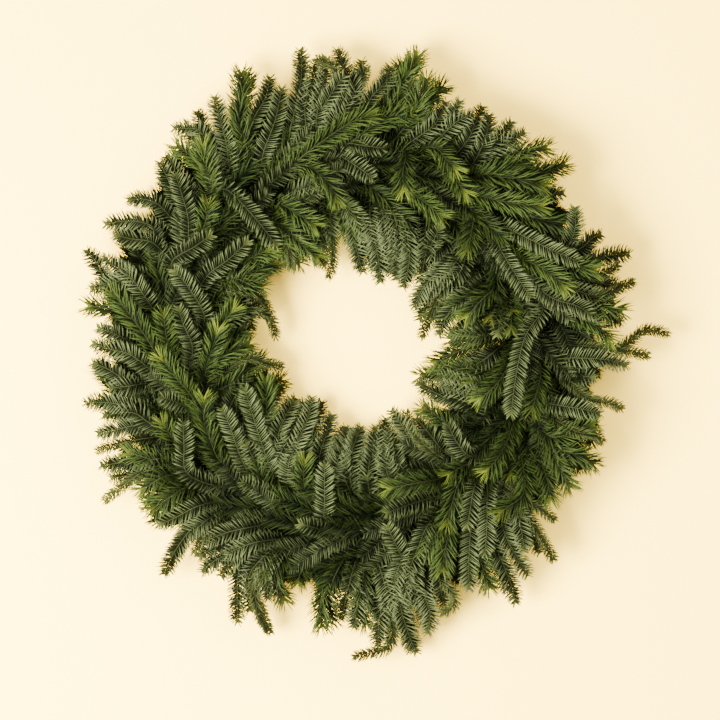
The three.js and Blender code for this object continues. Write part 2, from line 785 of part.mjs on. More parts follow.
function makeSprays(wreath) {
  const shoots = makeShoots();
  settleHeights(shoots);
  const clearances = new Clearances();
  recordRing(clearances);
  recordBinding(clearances);
  const sprays = new Map();
  for (const shoot of shoots) {
    const name = `spray_${shoot.lane}_${String(shoot.slot + 1).padStart(2, "0")}`;
    if (!sprays.has(name)) sprays.set(name, []);
    sprays.get(name).push(shoot);
    recordTwig(shoot, clearances);
  }
  for (const members of sprays.values()) {
    const { lane, slot } = members[0];
    const [front, middle, butt] = [0, STEM_MIDDLE, STEM_LENGTH].map((b) => stemPoint(lane, slot, b));
    clearances.add("stem", 0, front, middle, STEM_RADIUS);
    clearances.add("stem", 0, middle, butt, STEM_RADIUS);
  }
  for (const [name, members] of sprays) {
    const { lane, slot } = members[0];
    const geometry = growSpray(lane, slot, members, clearances);
    const look = { color: LANES[lane].colour, roughness: FOLIAGE_ROUGHNESS, metalness: 0 };
    wreath.add(named(name, geometry, look));
  }
}

const wreath = new THREE.Group();
wreath.add(makeRing());
wreath.add(named("binding_wire", bindingGeometry(), BINDING_LOOK));
makeSprays(wreath);

// The origin is under the middle of the whole wreath.

const box = new THREE.Box3().setFromObject(wreath);
const centre = box.getCenter(new THREE.Vector3());
wreath.position.set(-centre.x, -centre.y, -box.min.z);

export default wreath;
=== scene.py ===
"""A fresh evergreen wreath on its back: fir sprays laid clockwise round a wire ring.

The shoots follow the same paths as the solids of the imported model, worked out here with the same
rules, and carry the needles, sprigs and older shoots that the solids have too few triangles for.
"""

import bpy
import numpy as np
from mathutils import Matrix, Vector


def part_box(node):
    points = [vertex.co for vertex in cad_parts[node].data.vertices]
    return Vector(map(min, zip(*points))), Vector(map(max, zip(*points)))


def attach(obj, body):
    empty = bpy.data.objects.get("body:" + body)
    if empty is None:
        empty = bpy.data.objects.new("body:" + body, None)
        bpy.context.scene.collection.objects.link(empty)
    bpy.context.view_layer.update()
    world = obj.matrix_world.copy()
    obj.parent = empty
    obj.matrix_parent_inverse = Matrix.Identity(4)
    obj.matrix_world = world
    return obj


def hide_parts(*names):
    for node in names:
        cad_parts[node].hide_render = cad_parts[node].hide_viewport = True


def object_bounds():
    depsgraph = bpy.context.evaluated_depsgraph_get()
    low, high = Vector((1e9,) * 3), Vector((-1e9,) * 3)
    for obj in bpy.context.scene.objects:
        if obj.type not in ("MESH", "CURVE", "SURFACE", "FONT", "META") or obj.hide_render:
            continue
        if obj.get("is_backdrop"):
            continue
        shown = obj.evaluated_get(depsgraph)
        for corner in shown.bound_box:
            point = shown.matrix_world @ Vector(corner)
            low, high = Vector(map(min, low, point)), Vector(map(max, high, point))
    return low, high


bl_info = {
    "name": "Evergreen wreath",
    "version": (1, 0, 0),
    "blender": (4, 5, 0),
    "location": "View3D > Sidebar > Wreath",
    "description": "Dresses a fir wreath in needles, bark and wire",
    "category": "Object",
}

MM = 0.001
TINY = 1e-9

# The ring, the turns of binding wire round it and the stems under them, in millimetres, as in the
# solids. Here a stem's bark is a little slimmer than in its solid.

RING_RADIUS = 178.0
TURNS = 38
SLOTS = TURNS // 2
TURN_ANGLE = 2.0 * np.pi / TURNS
STEM_RADIUS = 2.0
BARK_RADIUS = 1.75
STEM_LENGTH = 51.0
STEM_PAST_END = 1.0
STEM_POINTS = 9
STEM_SIDES = 7
STEM_TONE = 0.3

# Three lanes of stems: how far each lies to the ring's outer side, how high, where its first stem
# ends, in turns of wire, and how much further its shoots count as having run where two cross

LANES = {
    "outer": {"side": 3.4, "height": 5.2, "start": 1.653, "rank": 0.0},
    "top": {"side": 0.0, "height": 8.0, "start": 0.903, "rank": 12.0},
    "inner": {"side": -3.3, "height": 5.2, "start": 0.153, "rank": 0.0},
}

# Shoots on a stem: how far back from its end those on its top start, the room that they share, the
# most that lies between two of them, and how many there can be

ROOT_FRONT = 2.0
ROOT_ROOM = 18.0
LONGEST_ROOT = 3.6
MOST_SHOOTS = 6

# The stem of a shoot is the nearest to a point behind the shoot's base, a little further back round
# the ring, in radians, with so many millimetres added for each shoot that the stem has already

BEHIND_BASE = 25.0
UPSTREAM = 0.07
CROWDING = 3.0

# The foliage's domed surface, and how steeply shoots climb to it: the first of a stem, and how much
# more each next one. They keep above the loops of wire, and higher once they have needles.

DOME_HEIGHT = 84.0
RIM_HEIGHT = 24.0
OUTER_REACH = 120.0
INNER_REACH = 100.0
CLIMB = 0.9
CLIMB_STEP = 0.3
LOOP_CLEARANCE = 12.0
LEAFY_FLOOR = 14.0

# Steps along a shoot, the gap wanted where two cross, how near they have to pass to count as
# crossing, how far shoots of one stem run together, and how far apart the ends of two steps may be
# for them to be compared

SAMPLES = 12
CROSSING_GAP = 7.4
CROSSING_REACH = 6.8
SIBLING_START = 12.0
FAR_STEPS = 40.0

# How often heights settle, and by what share each time they are drawn back and smoothed

SETTLING_SWEEPS = 240
PULL_BACK = 0.03
SMOOTHING = 0.25

# Where the shoots show, from tip back to base, in millimetres from the left and the top edge of a
# board under the wreath. The ring's middle is at BOARD.

BOARD = (354.0, 346.0)
SHOOTS = {
    "outer": [
        ["glossy", 242, 68, 239, 127],
        ["silver", 215, 94, 220, 118, 228, 150],
        ["silver", 197, 109, 206, 135, 216, 156],
        ["silver", 171, 130, 186, 130, 205, 138],
        ["glossy", 173, 144, 190, 156, 207, 172],
        ["silver", 160, 160, 168, 178, 182, 208],
        ["silver", 126, 202, 142, 200, 163, 208],
        ["silver", 103, 226, 125, 222, 152, 226],
        ["silver", 86, 248, 99, 264, 116, 288],
        ["silver", 271, 75, 266, 100, 251, 130],
        ["silver", 300, 47, 302, 78, 293, 122, 285, 146],
        ["silver", 283, 86, 276, 122, 262, 165],
        ["slim", 314, 59, 327, 64, 338, 80],
        ["silver", 336, 47, 345, 72, 356, 100],
        ["silver", 347, 74, 330, 98, 313, 128],
        ["silver", 390, 64, 385, 85, 368, 104],
        ["glossy", 420, 51, 411, 70, 398, 90],
        ["glossy", 427, 75, 424, 92, 416, 110],
        ["silver", 409, 79, 416, 105, 427, 140],
        ["silver", 461, 99, 452, 116, 446, 132],
        ["silver", 475, 115, 458, 122, 440, 138],
        ["silver", 489, 113, 486, 135, 474, 162],
        ["silver", 513, 120, 500, 138, 482, 156],
        ["silver", 526, 131, 510, 143, 494, 152],
        ["glossy", 551, 148, 530, 152, 500, 158],
        ["glossy", 569, 163, 548, 172, 518, 180],
        ["silver", 573, 205, 574, 225, 566, 246],
        ["silver", 603, 234, 590, 239, 570, 252],
        ["silver", 632, 254, 608, 256, 582, 264],
        ["slim", 619, 264, 608, 271, 592, 277],
        ["glossy", 599, 271, 580, 268, 556, 264],
        ["slim", 635, 281, 619, 288, 590, 298],
        ["glossy", 626, 313, 605, 308, 580, 300],
        ["glossy", 612, 345, 600, 331, 572, 314],
        ["slim", 670, 335, 656, 331, 642, 330, 629, 341, 606, 351],
        ["slim", 650, 356, 634, 353, 604, 348],
        ["silver", 629, 366, 600, 359, 560, 357],
        ["silver", 596, 378, 580, 376, 556, 378],
        ["slim", 623, 410, 608, 402, 584, 396],
        ["silver", 602, 414, 582, 409, 552, 404],
        ["glossy", 597, 424, 575, 430, 548, 436],
        ["slim", 603, 443, 592, 434, 572, 430],
        ["glossy", 597, 467, 580, 455, 552, 446],
        ["glossy", 572, 491, 560, 470, 547, 446],
        ["glossy", 550, 505, 546, 480, 538, 455],
        ["slim", 555, 521, 540, 508, 518, 492],
        ["slim", 554, 562, 545, 544, 531, 520, 518, 500],
        ["silver", 523, 553, 521, 533, 513, 500],
        ["silver", 529, 578, 517, 557, 501, 524],
        ["silver", 516, 606, 511, 585, 502, 562, 492, 532],
        ["glossy", 491, 592, 485, 576, 476, 550],
        ["silver", 469, 592, 468, 560, 472, 520],
        ["silver", 427, 636, 430, 612, 424, 582],
        ["slim", 438, 613, 454, 604, 452, 590, 440, 570],
        ["silver", 418, 655, 408, 632, 398, 590],
        ["slim", 351, 657, 370, 652, 388, 648, 394, 628, 390, 604],
        ["silver", 379, 650, 378, 630, 382, 600],
        ["silver", 354, 630, 357, 606, 364, 578],
        ["glossy", 322, 631, 321, 602, 326, 568],
        ["glossy", 297, 587, 302, 568, 314, 544],
        ["slim", 272, 634, 262, 615, 256, 585],
        ["silver", 238, 625, 238, 598, 242, 562],
        ["silver", 201, 574, 214, 560, 240, 546],
        ["silver", 163, 577, 176, 550, 192, 528, 213, 508],
        ["glossy", 147, 512, 166, 500, 192, 484],
        ["glossy", 137, 491, 150, 485, 172, 474],
        ["slim", 103, 502, 122, 487, 144, 471],
        ["silver", 99, 466, 115, 463, 142, 458],
        ["glossy", 124, 451, 145, 456, 180, 468],
        ["slim", 96, 451, 115, 445, 145, 438],
        ["silver", 96, 434, 115, 430, 146, 424],
        ["silver", 83, 403, 105, 402, 142, 408],
        ["silver", 91, 362, 112, 370, 142, 392],
        ["silver", 96, 327, 116, 334, 144, 348],
        ["glossy", 84, 306, 100, 307, 122, 312],
    ],
    "top": [
        ["glossy", 204, 141, 205, 160, 210, 182],
        ["silver", 176, 172, 184, 198, 190, 226],
        ["glossy", 211, 200, 207, 222, 198, 246],
        ["silver", 216, 234, 196, 248, 172, 264],
        ["silver", 252, 240, 228, 262, 204, 282],
        ["silver", 173, 268, 190, 288, 206, 322],
        ["glossy", 109, 289, 128, 310, 152, 344],
        ["glossy", 165, 309, 167, 330, 172, 360],
        ["glossy", 159, 353, 178, 378, 198, 404],
        ["silver", 160, 395, 178, 402, 200, 412],
        ["glossy", 161, 417, 171, 432, 184, 450],
        ["glossy", 206, 392, 205, 415, 213, 445],
        ["silver", 185, 418, 186, 446, 192, 476],
        ["silver", 222, 405, 231, 425, 240, 452],
        ["silver", 240, 479, 260, 489, 288, 502],
        ["glossy", 306, 455, 304, 480, 312, 520],
        ["silver", 325, 460, 325, 492, 328, 535],
        ["silver", 386, 520, 394, 540, 410, 562],
        ["silver", 382, 513, 410, 503, 452, 490],
        ["glossy", 382, 488, 405, 484, 440, 478],
        ["glossy", 441, 574, 445, 545, 455, 508],
        ["silver", 484, 556, 486, 520, 488, 486],
        ["glossy", 443, 477, 460, 466, 490, 450],
        ["glossy", 480, 474, 494, 460, 508, 436],
        ["glossy", 493, 514, 507, 505, 524, 486],
        ["silver", 446, 420, 455, 440, 474, 456],
        ["glossy", 473, 403, 488, 391, 504, 372],
        ["glossy", 529, 416, 534, 396, 540, 366],
        ["silver", 509, 418, 514, 378, 524, 335, 544, 302],
        ["silver", 592, 318, 575, 306, 548, 297],
        ["silver", 580, 264, 550, 251, 508, 230],
        ["glossy", 567, 292, 545, 271, 512, 254],
        ["silver", 531, 301, 512, 272, 490, 234],
        ["glossy", 462, 322, 479, 302, 501, 280],
        ["glossy", 547, 208, 518, 206, 486, 199],
        ["glossy", 548, 190, 528, 183, 492, 178],
        ["glossy", 465, 257, 470, 236, 470, 206],
        ["glossy", 460, 176, 446, 162, 428, 148],
        ["glossy", 469, 199, 458, 186, 444, 168],
        ["glossy", 404, 198, 402, 176, 403, 152],
        ["glossy", 446, 222, 434, 212, 414, 196],
        ["glossy", 377, 116, 350, 125, 304, 157],
        ["silver", 376, 182, 345, 160, 322, 150],
        ["glossy", 340, 207, 325, 180, 296, 166],
        ["silver", 280, 250, 254, 217, 222, 189],
    ],
    "inner": [
        ["glossy", 321, 230, 302, 218, 270, 202],
        ["glossy", 323, 262, 302, 245, 272, 222],
        ["slim", 328, 280, 333, 262, 333, 234],
        ["glossy", 277, 249, 256, 256, 230, 270],
        ["slim", 291, 272, 291, 258, 282, 238],
        ["glossy", 268, 288, 248, 285, 222, 293],
        ["slim", 276, 340, 273, 322, 260, 312, 238, 320],
        ["glossy", 240, 305, 228, 318, 214, 336],
        ["glossy", 221, 325, 213, 350, 206, 376],
        ["slim", 285, 366, 268, 364, 248, 357, 224, 372],
        ["glossy", 266, 375, 267, 398, 264, 424],
        ["silver", 245, 384, 252, 410, 272, 470],
        ["silver", 245, 440, 254, 456, 266, 482],
        ["silver", 297, 398, 286, 416, 278, 446],
        ["silver", 313, 394, 307, 422, 288, 468],
        ["silver", 333, 411, 326, 436, 320, 466],
        ["silver", 362, 423, 352, 450, 342, 484],
        ["silver", 376, 423, 373, 452, 367, 500],
        ["silver", 389, 407, 403, 427, 430, 472],
        ["glossy", 417, 407, 430, 411, 456, 430],
        ["silver", 415, 382, 434, 392, 462, 402],
        ["glossy", 428, 366, 446, 357, 490, 338],
        ["silver", 461, 362, 484, 357, 514, 346],
        ["silver", 446, 332, 470, 329, 506, 330],
        ["silver", 437, 338, 450, 310, 484, 254],
        ["slim", 420, 340, 428, 322, 440, 296],
        ["silver", 413, 311, 424, 286, 454, 251],
        ["silver", 402, 291, 409, 262, 408, 214],
        ["silver", 380, 286, 378, 258, 366, 212],
        ["silver", 364, 276, 357, 252, 345, 214],
    ],
}

# Small sprigs that show between the shoots above, each with its kind, from tip back to base

SPRIGS = [
    ["silver", 222, 575, 232, 562, 245, 548],
    ["slim", 195, 552, 205, 535, 225, 520],
    ["silver", 385, 618, 370, 600, 352, 583],
    ["slim", 406, 412, 412, 430, 425, 445],
    ["silver", 408, 570, 420, 540, 430, 520],
    ["silver", 92, 290, 120, 282, 140, 275],
    ["silver", 105, 415, 135, 412, 155, 425],
    ["silver", 300, 522, 325, 530, 340, 540],
    ["silver", 439, 228, 430, 255],
    ["glossy", 285, 600, 280, 588, 276, 570],
    ["glossy", 366, 624, 362, 610],
    ["glossy", 472, 382, 482, 375],
    ["glossy", 510, 475, 508, 450],
    ["glossy", 425, 552, 438, 530, 450, 512],
    ["glossy", 410, 115, 392, 118, 372, 128],
    ["glossy", 490, 318, 497, 300, 503, 280],
    ["glossy", 512, 312, 505, 285],
    ["glossy", 205, 418, 212, 440, 222, 462],
    ["glossy", 443, 88, 430, 98],
    ["silver", 317, 62, 312, 88, 305, 112],
    ["silver", 366, 70, 352, 92, 340, 112],
    ["silver", 112, 478, 132, 474, 158, 468],
    ["silver", 342, 618, 346, 596, 352, 572],
    ["silver", 401, 628, 398, 606, 394, 578],
    ["silver", 444, 606, 440, 586, 436, 560],
    ["silver", 506, 590, 500, 570, 490, 540],
    ["slim", 262, 622, 258, 604, 254, 580],
    ["silver", 586, 468, 566, 462, 540, 452],
    ["silver", 612, 300, 592, 296, 566, 288],
    ["silver", 446, 104, 440, 116, 430, 130],
    ["silver", 264, 302, 250, 308, 230, 320],
    ["glossy", 250, 344, 236, 350, 218, 360],
    ["silver", 282, 388, 270, 402, 256, 424],
    ["silver", 322, 402, 314, 424, 304, 448],
    ["silver", 344, 432, 338, 452, 330, 474],
    ["silver", 390, 428, 394, 450, 400, 474],
    ["silver", 416, 418, 428, 432, 444, 452],
    ["silver", 436, 376, 456, 380, 480, 384],
    ["glossy", 432, 318, 450, 310, 474, 298],
    ["silver", 430, 300, 444, 288, 462, 268],
    ["silver", 420, 282, 424, 262, 428, 236],
    ["silver", 396, 280, 396, 258, 394, 230],
    ["silver", 384, 272, 378, 250, 370, 222],
    ["silver", 302, 258, 296, 244, 286, 222],
    ["glossy", 450, 340, 470, 338, 492, 332],
    ["glossy", 322, 248, 322, 226, 318, 200],
    ["silver", 332, 236, 330, 214, 324, 190],
    ["silver", 362, 262, 356, 238, 348, 210],
    ["glossy", 350, 236, 346, 218, 338, 196],
    ["silver", 374, 270, 368, 250, 360, 222],
    ["silver", 410, 276, 410, 256, 408, 228],
    ["silver", 436, 308, 452, 304, 474, 290],
    ["silver", 268, 372, 254, 380, 236, 396],
    ["silver", 296, 398, 288, 410, 278, 432],
    ["silver", 430, 372, 452, 370, 480, 362],
    ["silver", 430, 390, 448, 396, 470, 404],
    ["slim", 270, 318, 264, 302, 250, 292],
    ["silver", 186, 128, 198, 146, 212, 168],
    ["silver", 326, 60, 324, 84, 318, 110],
    ["silver", 362, 62, 358, 84, 350, 110],
    ["silver", 116, 236, 134, 240, 158, 246],
    ["silver", 112, 464, 134, 462, 160, 458],
    ["silver", 160, 524, 178, 516, 202, 504],
    ["silver", 250, 610, 250, 590, 254, 566],
    ["slim", 268, 630, 262, 608, 258, 584],
    ["silver", 410, 650, 408, 622, 402, 592],
    ["silver", 388, 640, 388, 616, 386, 588],
    ["silver", 540, 552, 528, 530, 514, 508],
    ["glossy", 560, 226, 544, 222, 520, 216],
    ["silver", 620, 286, 600, 284, 574, 278],
    ["silver", 112, 388, 130, 386, 156, 384],
    ["glossy", 330, 622, 330, 604, 334, 576],
    ["glossy", 402, 64, 398, 84, 388, 108],
    ["glossy", 412, 60, 406, 82, 398, 106],
    ["silver", 226, 553, 255, 541, 294, 535],
    ["silver", 367, 475, 370, 495, 373, 520],
    ["silver", 193, 532, 212, 516, 238, 506],
    ["silver", 205, 541, 228, 531, 262, 524],
    ["silver", 172, 560, 182, 542, 196, 526],
    ["glossy", 248, 78, 246, 98, 242, 124],
    ["silver", 104, 258, 118, 268, 136, 282],
    ["glossy", 282, 380, 268, 388, 252, 400],
    ["glossy", 420, 376, 440, 374, 470, 368],
    ["silver", 452, 340, 474, 336, 500, 328],
    ["silver", 418, 300, 432, 288, 452, 268],
    ["glossy", 528, 160, 514, 166, 494, 174],
    ["silver", 350, 428, 346, 446, 342, 470],
    ["silver", 360, 433, 356, 454, 350, 478],
    ["silver", 372, 436, 370, 458, 367, 482],
    ["silver", 384, 434, 386, 456, 390, 480],
    ["silver", 338, 440, 334, 460, 328, 482],
    ["silver", 426, 624, 421, 602, 414, 576],
    ["silver", 412, 606, 410, 588, 405, 566],
    ["silver", 392, 273, 390, 255, 386, 230],
    ["silver", 94, 344, 114, 350, 138, 358],
    ["silver", 200, 556, 214, 546, 236, 534],
    ["silver", 419, 320, 427, 302, 438, 278],
    ["silver", 252, 328, 250, 318, 240, 304],
    ["silver", 268, 598, 268, 584, 266, 566],
    ["silver", 345, 427, 341, 446, 335, 468],
    ["silver", 398, 278, 400, 258, 400, 232],
    ["silver", 496, 336, 500, 316, 506, 292],
    ["glossy", 510, 330, 510, 312, 508, 288],
    ["glossy", 446, 522, 452, 500, 462, 476],
    ["silver", 466, 526, 470, 504, 476, 480],
    ["silver", 166, 158, 180, 178, 196, 202],
    ["silver", 326, 266, 316, 250, 302, 230],
    ["silver", 620, 322, 600, 316, 572, 308],
    ["glossy", 262, 360, 248, 368, 232, 384],
    ["silver", 304, 402, 296, 418, 288, 440],
    ["silver", 386, 418, 384, 436, 384, 460],
    ["silver", 180, 308, 186, 328, 194, 350],
    ["silver", 440, 386, 456, 390, 480, 394],
    ["silver", 482, 108, 474, 126, 464, 146],
    ["silver", 562, 194, 544, 196, 520, 194],
    ["silver", 384, 150, 366, 148, 344, 146],
    ["glossy", 300, 264, 286, 252, 268, 240],
    ["glossy", 148, 502, 166, 490, 190, 476],
    ["glossy", 277, 263, 260, 269, 238, 278],
    ["silver", 272, 270, 256, 274, 236, 284],
]

# Kinds of shoot: needle width, lean from the twig in degrees, needles to the millimetre, how much
# they curve forward, twig radius, how unevenly they stand in degrees, how far from the shoot's tip
# they begin to shorten and what share of their length they have at the tip, and their rows round the
# twig, in degrees from its upper side, in the order in which they follow each other along it

KINDS = {
    "silver": {
        "width": 1.05, "lean": 63.0, "density": 2.6, "curl": 0.13, "twig": 0.75, "jitter": 7.5,
        "short_tip": (14.0, 0.5),
        "rows": [-88, 128, -104, 88, -128, 104, -62, 116, -116, 62, -108, 108],
    },
    "glossy": {
        "width": 0.95, "lean": 45.0, "density": 2.6, "curl": 0.15, "twig": 0.85, "jitter": 15.0,
        "short_tip": (7.0, 0.62),
        "rows": [-88, 112, -38, 88, -112, 130, -66, 104, 38, -130, 66, -104],
    },
    "slim": {
        "width": 1.0, "lean": 52.0, "density": 2.2, "curl": 0.1, "twig": 0.95, "jitter": 8.0,
        "short_tip": (9.0, 0.55),
        "rows": [-88, 88, 40, -120, 120, -40],
    },
}
LOOKS = [*KINDS, "bark"]

# How far from a shoot's tip growth is young, in millimetres, and how fresh it is in each kind. How far
# from the tip needles close in on it, and by what share of their lean at most. At the base of the
# leafy stretch needles shorten as at the tip.

YOUNG_LENGTH = 8.0
FRESHNESS = {"silver": 0.5, "glossy": 1.0, "slim": 0.5}
CLOSING_LENGTH = 8.0
CLOSING = 0.6
SHORT_BASE = (6.0, 0.7)

# Twigs and needles are "near" where they show and "deep" inside the wreath: sides of a twig, its
# steps in millimetres, and places along a needle with its widths there, as shares. The tip has none.

TWIG_SIDES = {"near": 4, "deep": 3}
TWIG_STEPS = {"near": 5.0, "deep": 9.0}
TWIG_TAPER = 0.55
FEWEST_STEPS = 3
NEEDLE_SHAPES = {
    "near": ([0.0, 0.7, 1.0], [0.6, 1.0]),
    "deep": ([0.0, 1.0], [2.0]),
}

# How much a needle's curve shortens its reach, how high its ridge is as a share of half its width,
# how far that ridge leans out from the twig, and where needles start, as a share of the twig's radius

CURVE_SHORTENS = 0.3
RIDGE_HEIGHT = 0.55
RIDGE_LEAN = 0.35
ROOT_PLACE = 0.5

# How needles vary: along the twig in millimetres, round it as a share of their kind's unevenness, and
# in length, width and tone. Rows below the twig are simple, and darker as painted shade under the
# twig. Needles that head down are cut short, to end no lower than about LOWEST.

FEWEST_NEEDLES = 3
ALONG_JITTER = 0.4
TURN_JITTER = 1.3
NEEDLE_LENGTHS = (0.88, 1.08)
NEEDLE_WIDTHS = (0.88, 1.1)
NEEDLE_TONES = (-0.25, 0.25)
LOWER_ROWS = 100
LOWER_ROWS_PAINTED_SHADE = 0.75
LOWEST = 1.5

# The ranges of tone and freshness for shoots and sprigs. A shoot's twig ends short of its tip by a
# share of a needle's length, with a last step no shorter than SHORTEST_END. A sprig lies so far under
# the foliage's surface, and this share of it is bare.

SHOOT_TONES = (0.25, 0.75)
SHOOT_FRESHNESS = (0.2, 1.2)
TIP_OVERHANG = 0.3
SHORTEST_END = 1.0
SPRIG_TONES = (0.15, 0.55)
SPRIG_FRESHNESS = (0.0, 0.8)
SPRIG_DEPTH = 10.0
SPRIG_BARE_SHARE = 0.5


# Paths, as in the solids


def polar(radius, angle, height):
    """A point at a radius and an angle round the ring's middle."""
    return np.array([radius * np.cos(angle), radius * np.sin(angle), height])


def slot_angle(lane, slot):
    """The angle at which a stem ends, so that its shoots leave between two turns of wire."""
    return (2 * slot + LANES[lane]["start"]) * TURN_ANGLE


def stem_point(lane, slot, back):
    """A point on a stem's middle line, back from the end that its shoots leave."""
    radius = RING_RADIUS + LANES[lane]["side"]
    return polar(radius, slot_angle(lane, slot) + back / radius, LANES[lane]["height"])


def turn_between(angle, other):
    """The turn from one angle to another, between minus and plus half a turn."""
    return np.arctan2(np.sin(angle - other), np.cos(angle - other))


def dome_height(radius):
    """The foliage's surface: highest over the ring and falling by a square law to both rims."""
    reach = np.where(radius > RING_RADIUS, OUTER_REACH, INNER_REACH)
    off = np.minimum(np.abs(radius - RING_RADIUS) / reach, 1.0)
    return RIM_HEIGHT + (DOME_HEIGHT - RIM_HEIGHT) * (1.0 - off * off)


def board_points(numbers):
    """Board places from tip to base, as points from base to tip about the ring's middle."""
    places = np.array(numbers, dtype=float).reshape(-1, 2)[::-1]
    return np.stack([places[:, 0] - BOARD[0], BOARD[1] - places[:, 1]], axis=1)


def choose_slot(lane, points, loads):
    """The stem that lies nearest behind a shoot's base, spread a little over its neighbours."""
    heading = (points[1] - points[0]) / np.linalg.norm(points[1] - points[0])
    behind = points[0] - BEHIND_BASE * heading
    wanted = np.arctan2(behind[1], behind[0]) + UPSTREAM
    slots = np.arange(SLOTS)
    away = np.abs(turn_between(wanted, slot_angle(lane, slots))) * RING_RADIUS
    cost = away + CROWDING * loads + np.where(loads < MOST_SHOOTS, 0.0, np.inf)
    return int(np.argmin(cost))


def root_back(order, count):
    """Where a shoot leaves its stem: the first at its end, the others on its flat top."""
    if order == 0:
        return 0.0
    return ROOT_FRONT + min(LONGEST_ROOT, ROOT_ROOM / (count - 1)) * (order - 0.5)


def smooth_curve(points, count):
    """A smooth curve through the points: on each stretch the cubic that leaves a point in the
    direction from the one before it to the one after, the ends' outer neighbours being reflected."""
    padded = np.vstack([2 * points[0] - points[1], points, 2 * points[-1] - points[-2]])
    place = np.linspace(0.0, len(points) - 1, count + 1)
    k = np.minimum(place.astype(int), len(points) - 2)
    t = (place - k)[:, None]
    p0, p1, p2, p3 = (padded[k + n] for n in range(4))
    m1 = 0.5 * (p2 - p0)
    m2 = 0.5 * (p3 - p1)
    return p1 + m1 * t + (3 * (p2 - p1) - 2 * m1 - m2) * t**2 + (2 * (p1 - p2) + m1 + m2) * t**3


def distance_along(points):
    """How far along a path each of its points lies."""
    return np.concatenate([[0.0], np.cumsum(np.linalg.norm(np.diff(points, axis=0), axis=1))])


def make_shoot(lane, slot, order, count, kind, points):
    """One shoot's path over the board, with the heights that it would have on its own."""
    root = stem_point(lane, slot, root_back(order, count))
    root_height = root[2] + (STEM_RADIUS / 2 if order > 0 else 0.0)
    plan = smooth_curve(np.vstack([root[:2], points]), SAMPLES)
    along = distance_along(plan)
    base = along[int(np.floor(SAMPLES / len(points) + 0.5))]
    climb = CLIMB + CLIMB_STEP * order
    surface = dome_height(np.hypot(plan[:, 0], plan[:, 1]))
    natural = np.minimum(root_height + climb * along, surface)
    low = root_height + np.minimum(CLIMB * along, LOOP_CLEARANCE)
    floor = np.where(along > base, np.maximum(low, LEAFY_FLOOR), low)
    return {
        "lane": lane,
        "slot": slot,
        "order": order,
        "kind": kind,
        "plan": plan,
        "along": along,
        "base": base,
        "rank": LANES[lane]["rank"],
        "natural": natural,
        "floor": floor,
        "height": natural.copy(),
    }


def make_shoots():
    """All listed shoots. Those of one stem fan out: the one whose base lies nearest straight ahead
    leaves the stem's end, and the others its top, further back."""
    shoots = []
    for lane in LANES:
        loads = np.zeros(SLOTS)
        planned = []
        for kind, *numbers in SHOOTS[lane]:
            points = board_points(numbers)
            slot = choose_slot(lane, points, loads)
            loads[slot] += 1
            away = points[0] - stem_point(lane, slot, 0)[:2]
            turn = abs(turn_between(np.arctan2(away[1], away[0]), slot_angle(lane, slot) - np.pi / 2))
            planned.append((slot, turn, kind, points))
        for slot in range(SLOTS):
            members = sorted((p for p in planned if p[0] == slot), key=lambda p: p[1])
            for order, (_, _, kind, points) in enumerate(members):
                shoots.append(make_shoot(lane, slot, order, len(members), kind, points))
    return shoots


def nearest_shares(uu, uv, vv, uw, vw):
    """The shares of two straight lines with ends at which they are nearest to each other."""
    spread = uu * vv - uv * uv
    with np.errstate(divide="ignore", invalid="ignore"):
        first = np.where(spread > TINY, np.clip((uv * vw - vv * uw) / spread, 0, 1), 0.0)
    other = np.clip((uv * first + vw) / vv, 0, 1)
    return np.clip((uv * other - uw) / uu, 0, 1), other


def find_crossings(shoots):
    """Every two steps of different paths that pass near each other in plan. The path that has run
    further lies on top, and of the shoots of one stem the one that leaves it further back."""
    starts = np.concatenate([s["plan"][:-1] for s in shoots])
    ends = np.concatenate([s["plan"][1:] for s in shoots])
    run_from = np.concatenate([s["along"][:-1] for s in shoots])
    run_to = np.concatenate([s["along"][1:] for s in shoots])
    owner = np.repeat(np.arange(len(shoots)), SAMPLES)
    family = np.array([list(LANES).index(s["lane"]) * SLOTS + s["slot"] for s in shoots])[owner]
    order = np.array([s["order"] for s in shoots])[owner]
    rank = np.array([s["rank"] for s in shoots])[owner]
    near = np.linalg.norm(ends[:, None] - ends[None], axis=2) <= FAR_STEPS
    i, j = np.nonzero(near & (owner[:, None] < owner[None]))
    u, v, w = ends[i] - starts[i], ends[j] - starts[j], starts[i] - starts[j]
    dots = [np.sum(p * q, axis=1) for p, q in ((u, u), (u, v), (v, v), (u, w), (v, w))]
    s, t = nearest_shares(*dots)
    apart = np.linalg.norm(w + u * s[:, None] - v * t[:, None], axis=1)
    run_i = run_from[i] + (run_to[i] - run_from[i]) * s
    run_j = run_from[j] + (run_to[j] - run_from[j]) * t
    siblings = family[i] == family[j]
    keep = (apart <= CROSSING_REACH) & ~(siblings & (np.minimum(run_i, run_j) < SIBLING_START))
    above = np.where(siblings, order[i] > order[j], run_i + rank[i] >= run_j + rank[j])
    i, j, s, t, apart, above = (x[keep] for x in (i, j, s, t, apart, above))
    upper, upper_share = np.where(above, i, j), np.where(above, s, t)
    lower, lower_share = np.where(above, j, i), np.where(above, t, s)
    return upper, upper_share, lower, lower_share, np.sqrt(CROSSING_GAP**2 - apart**2)


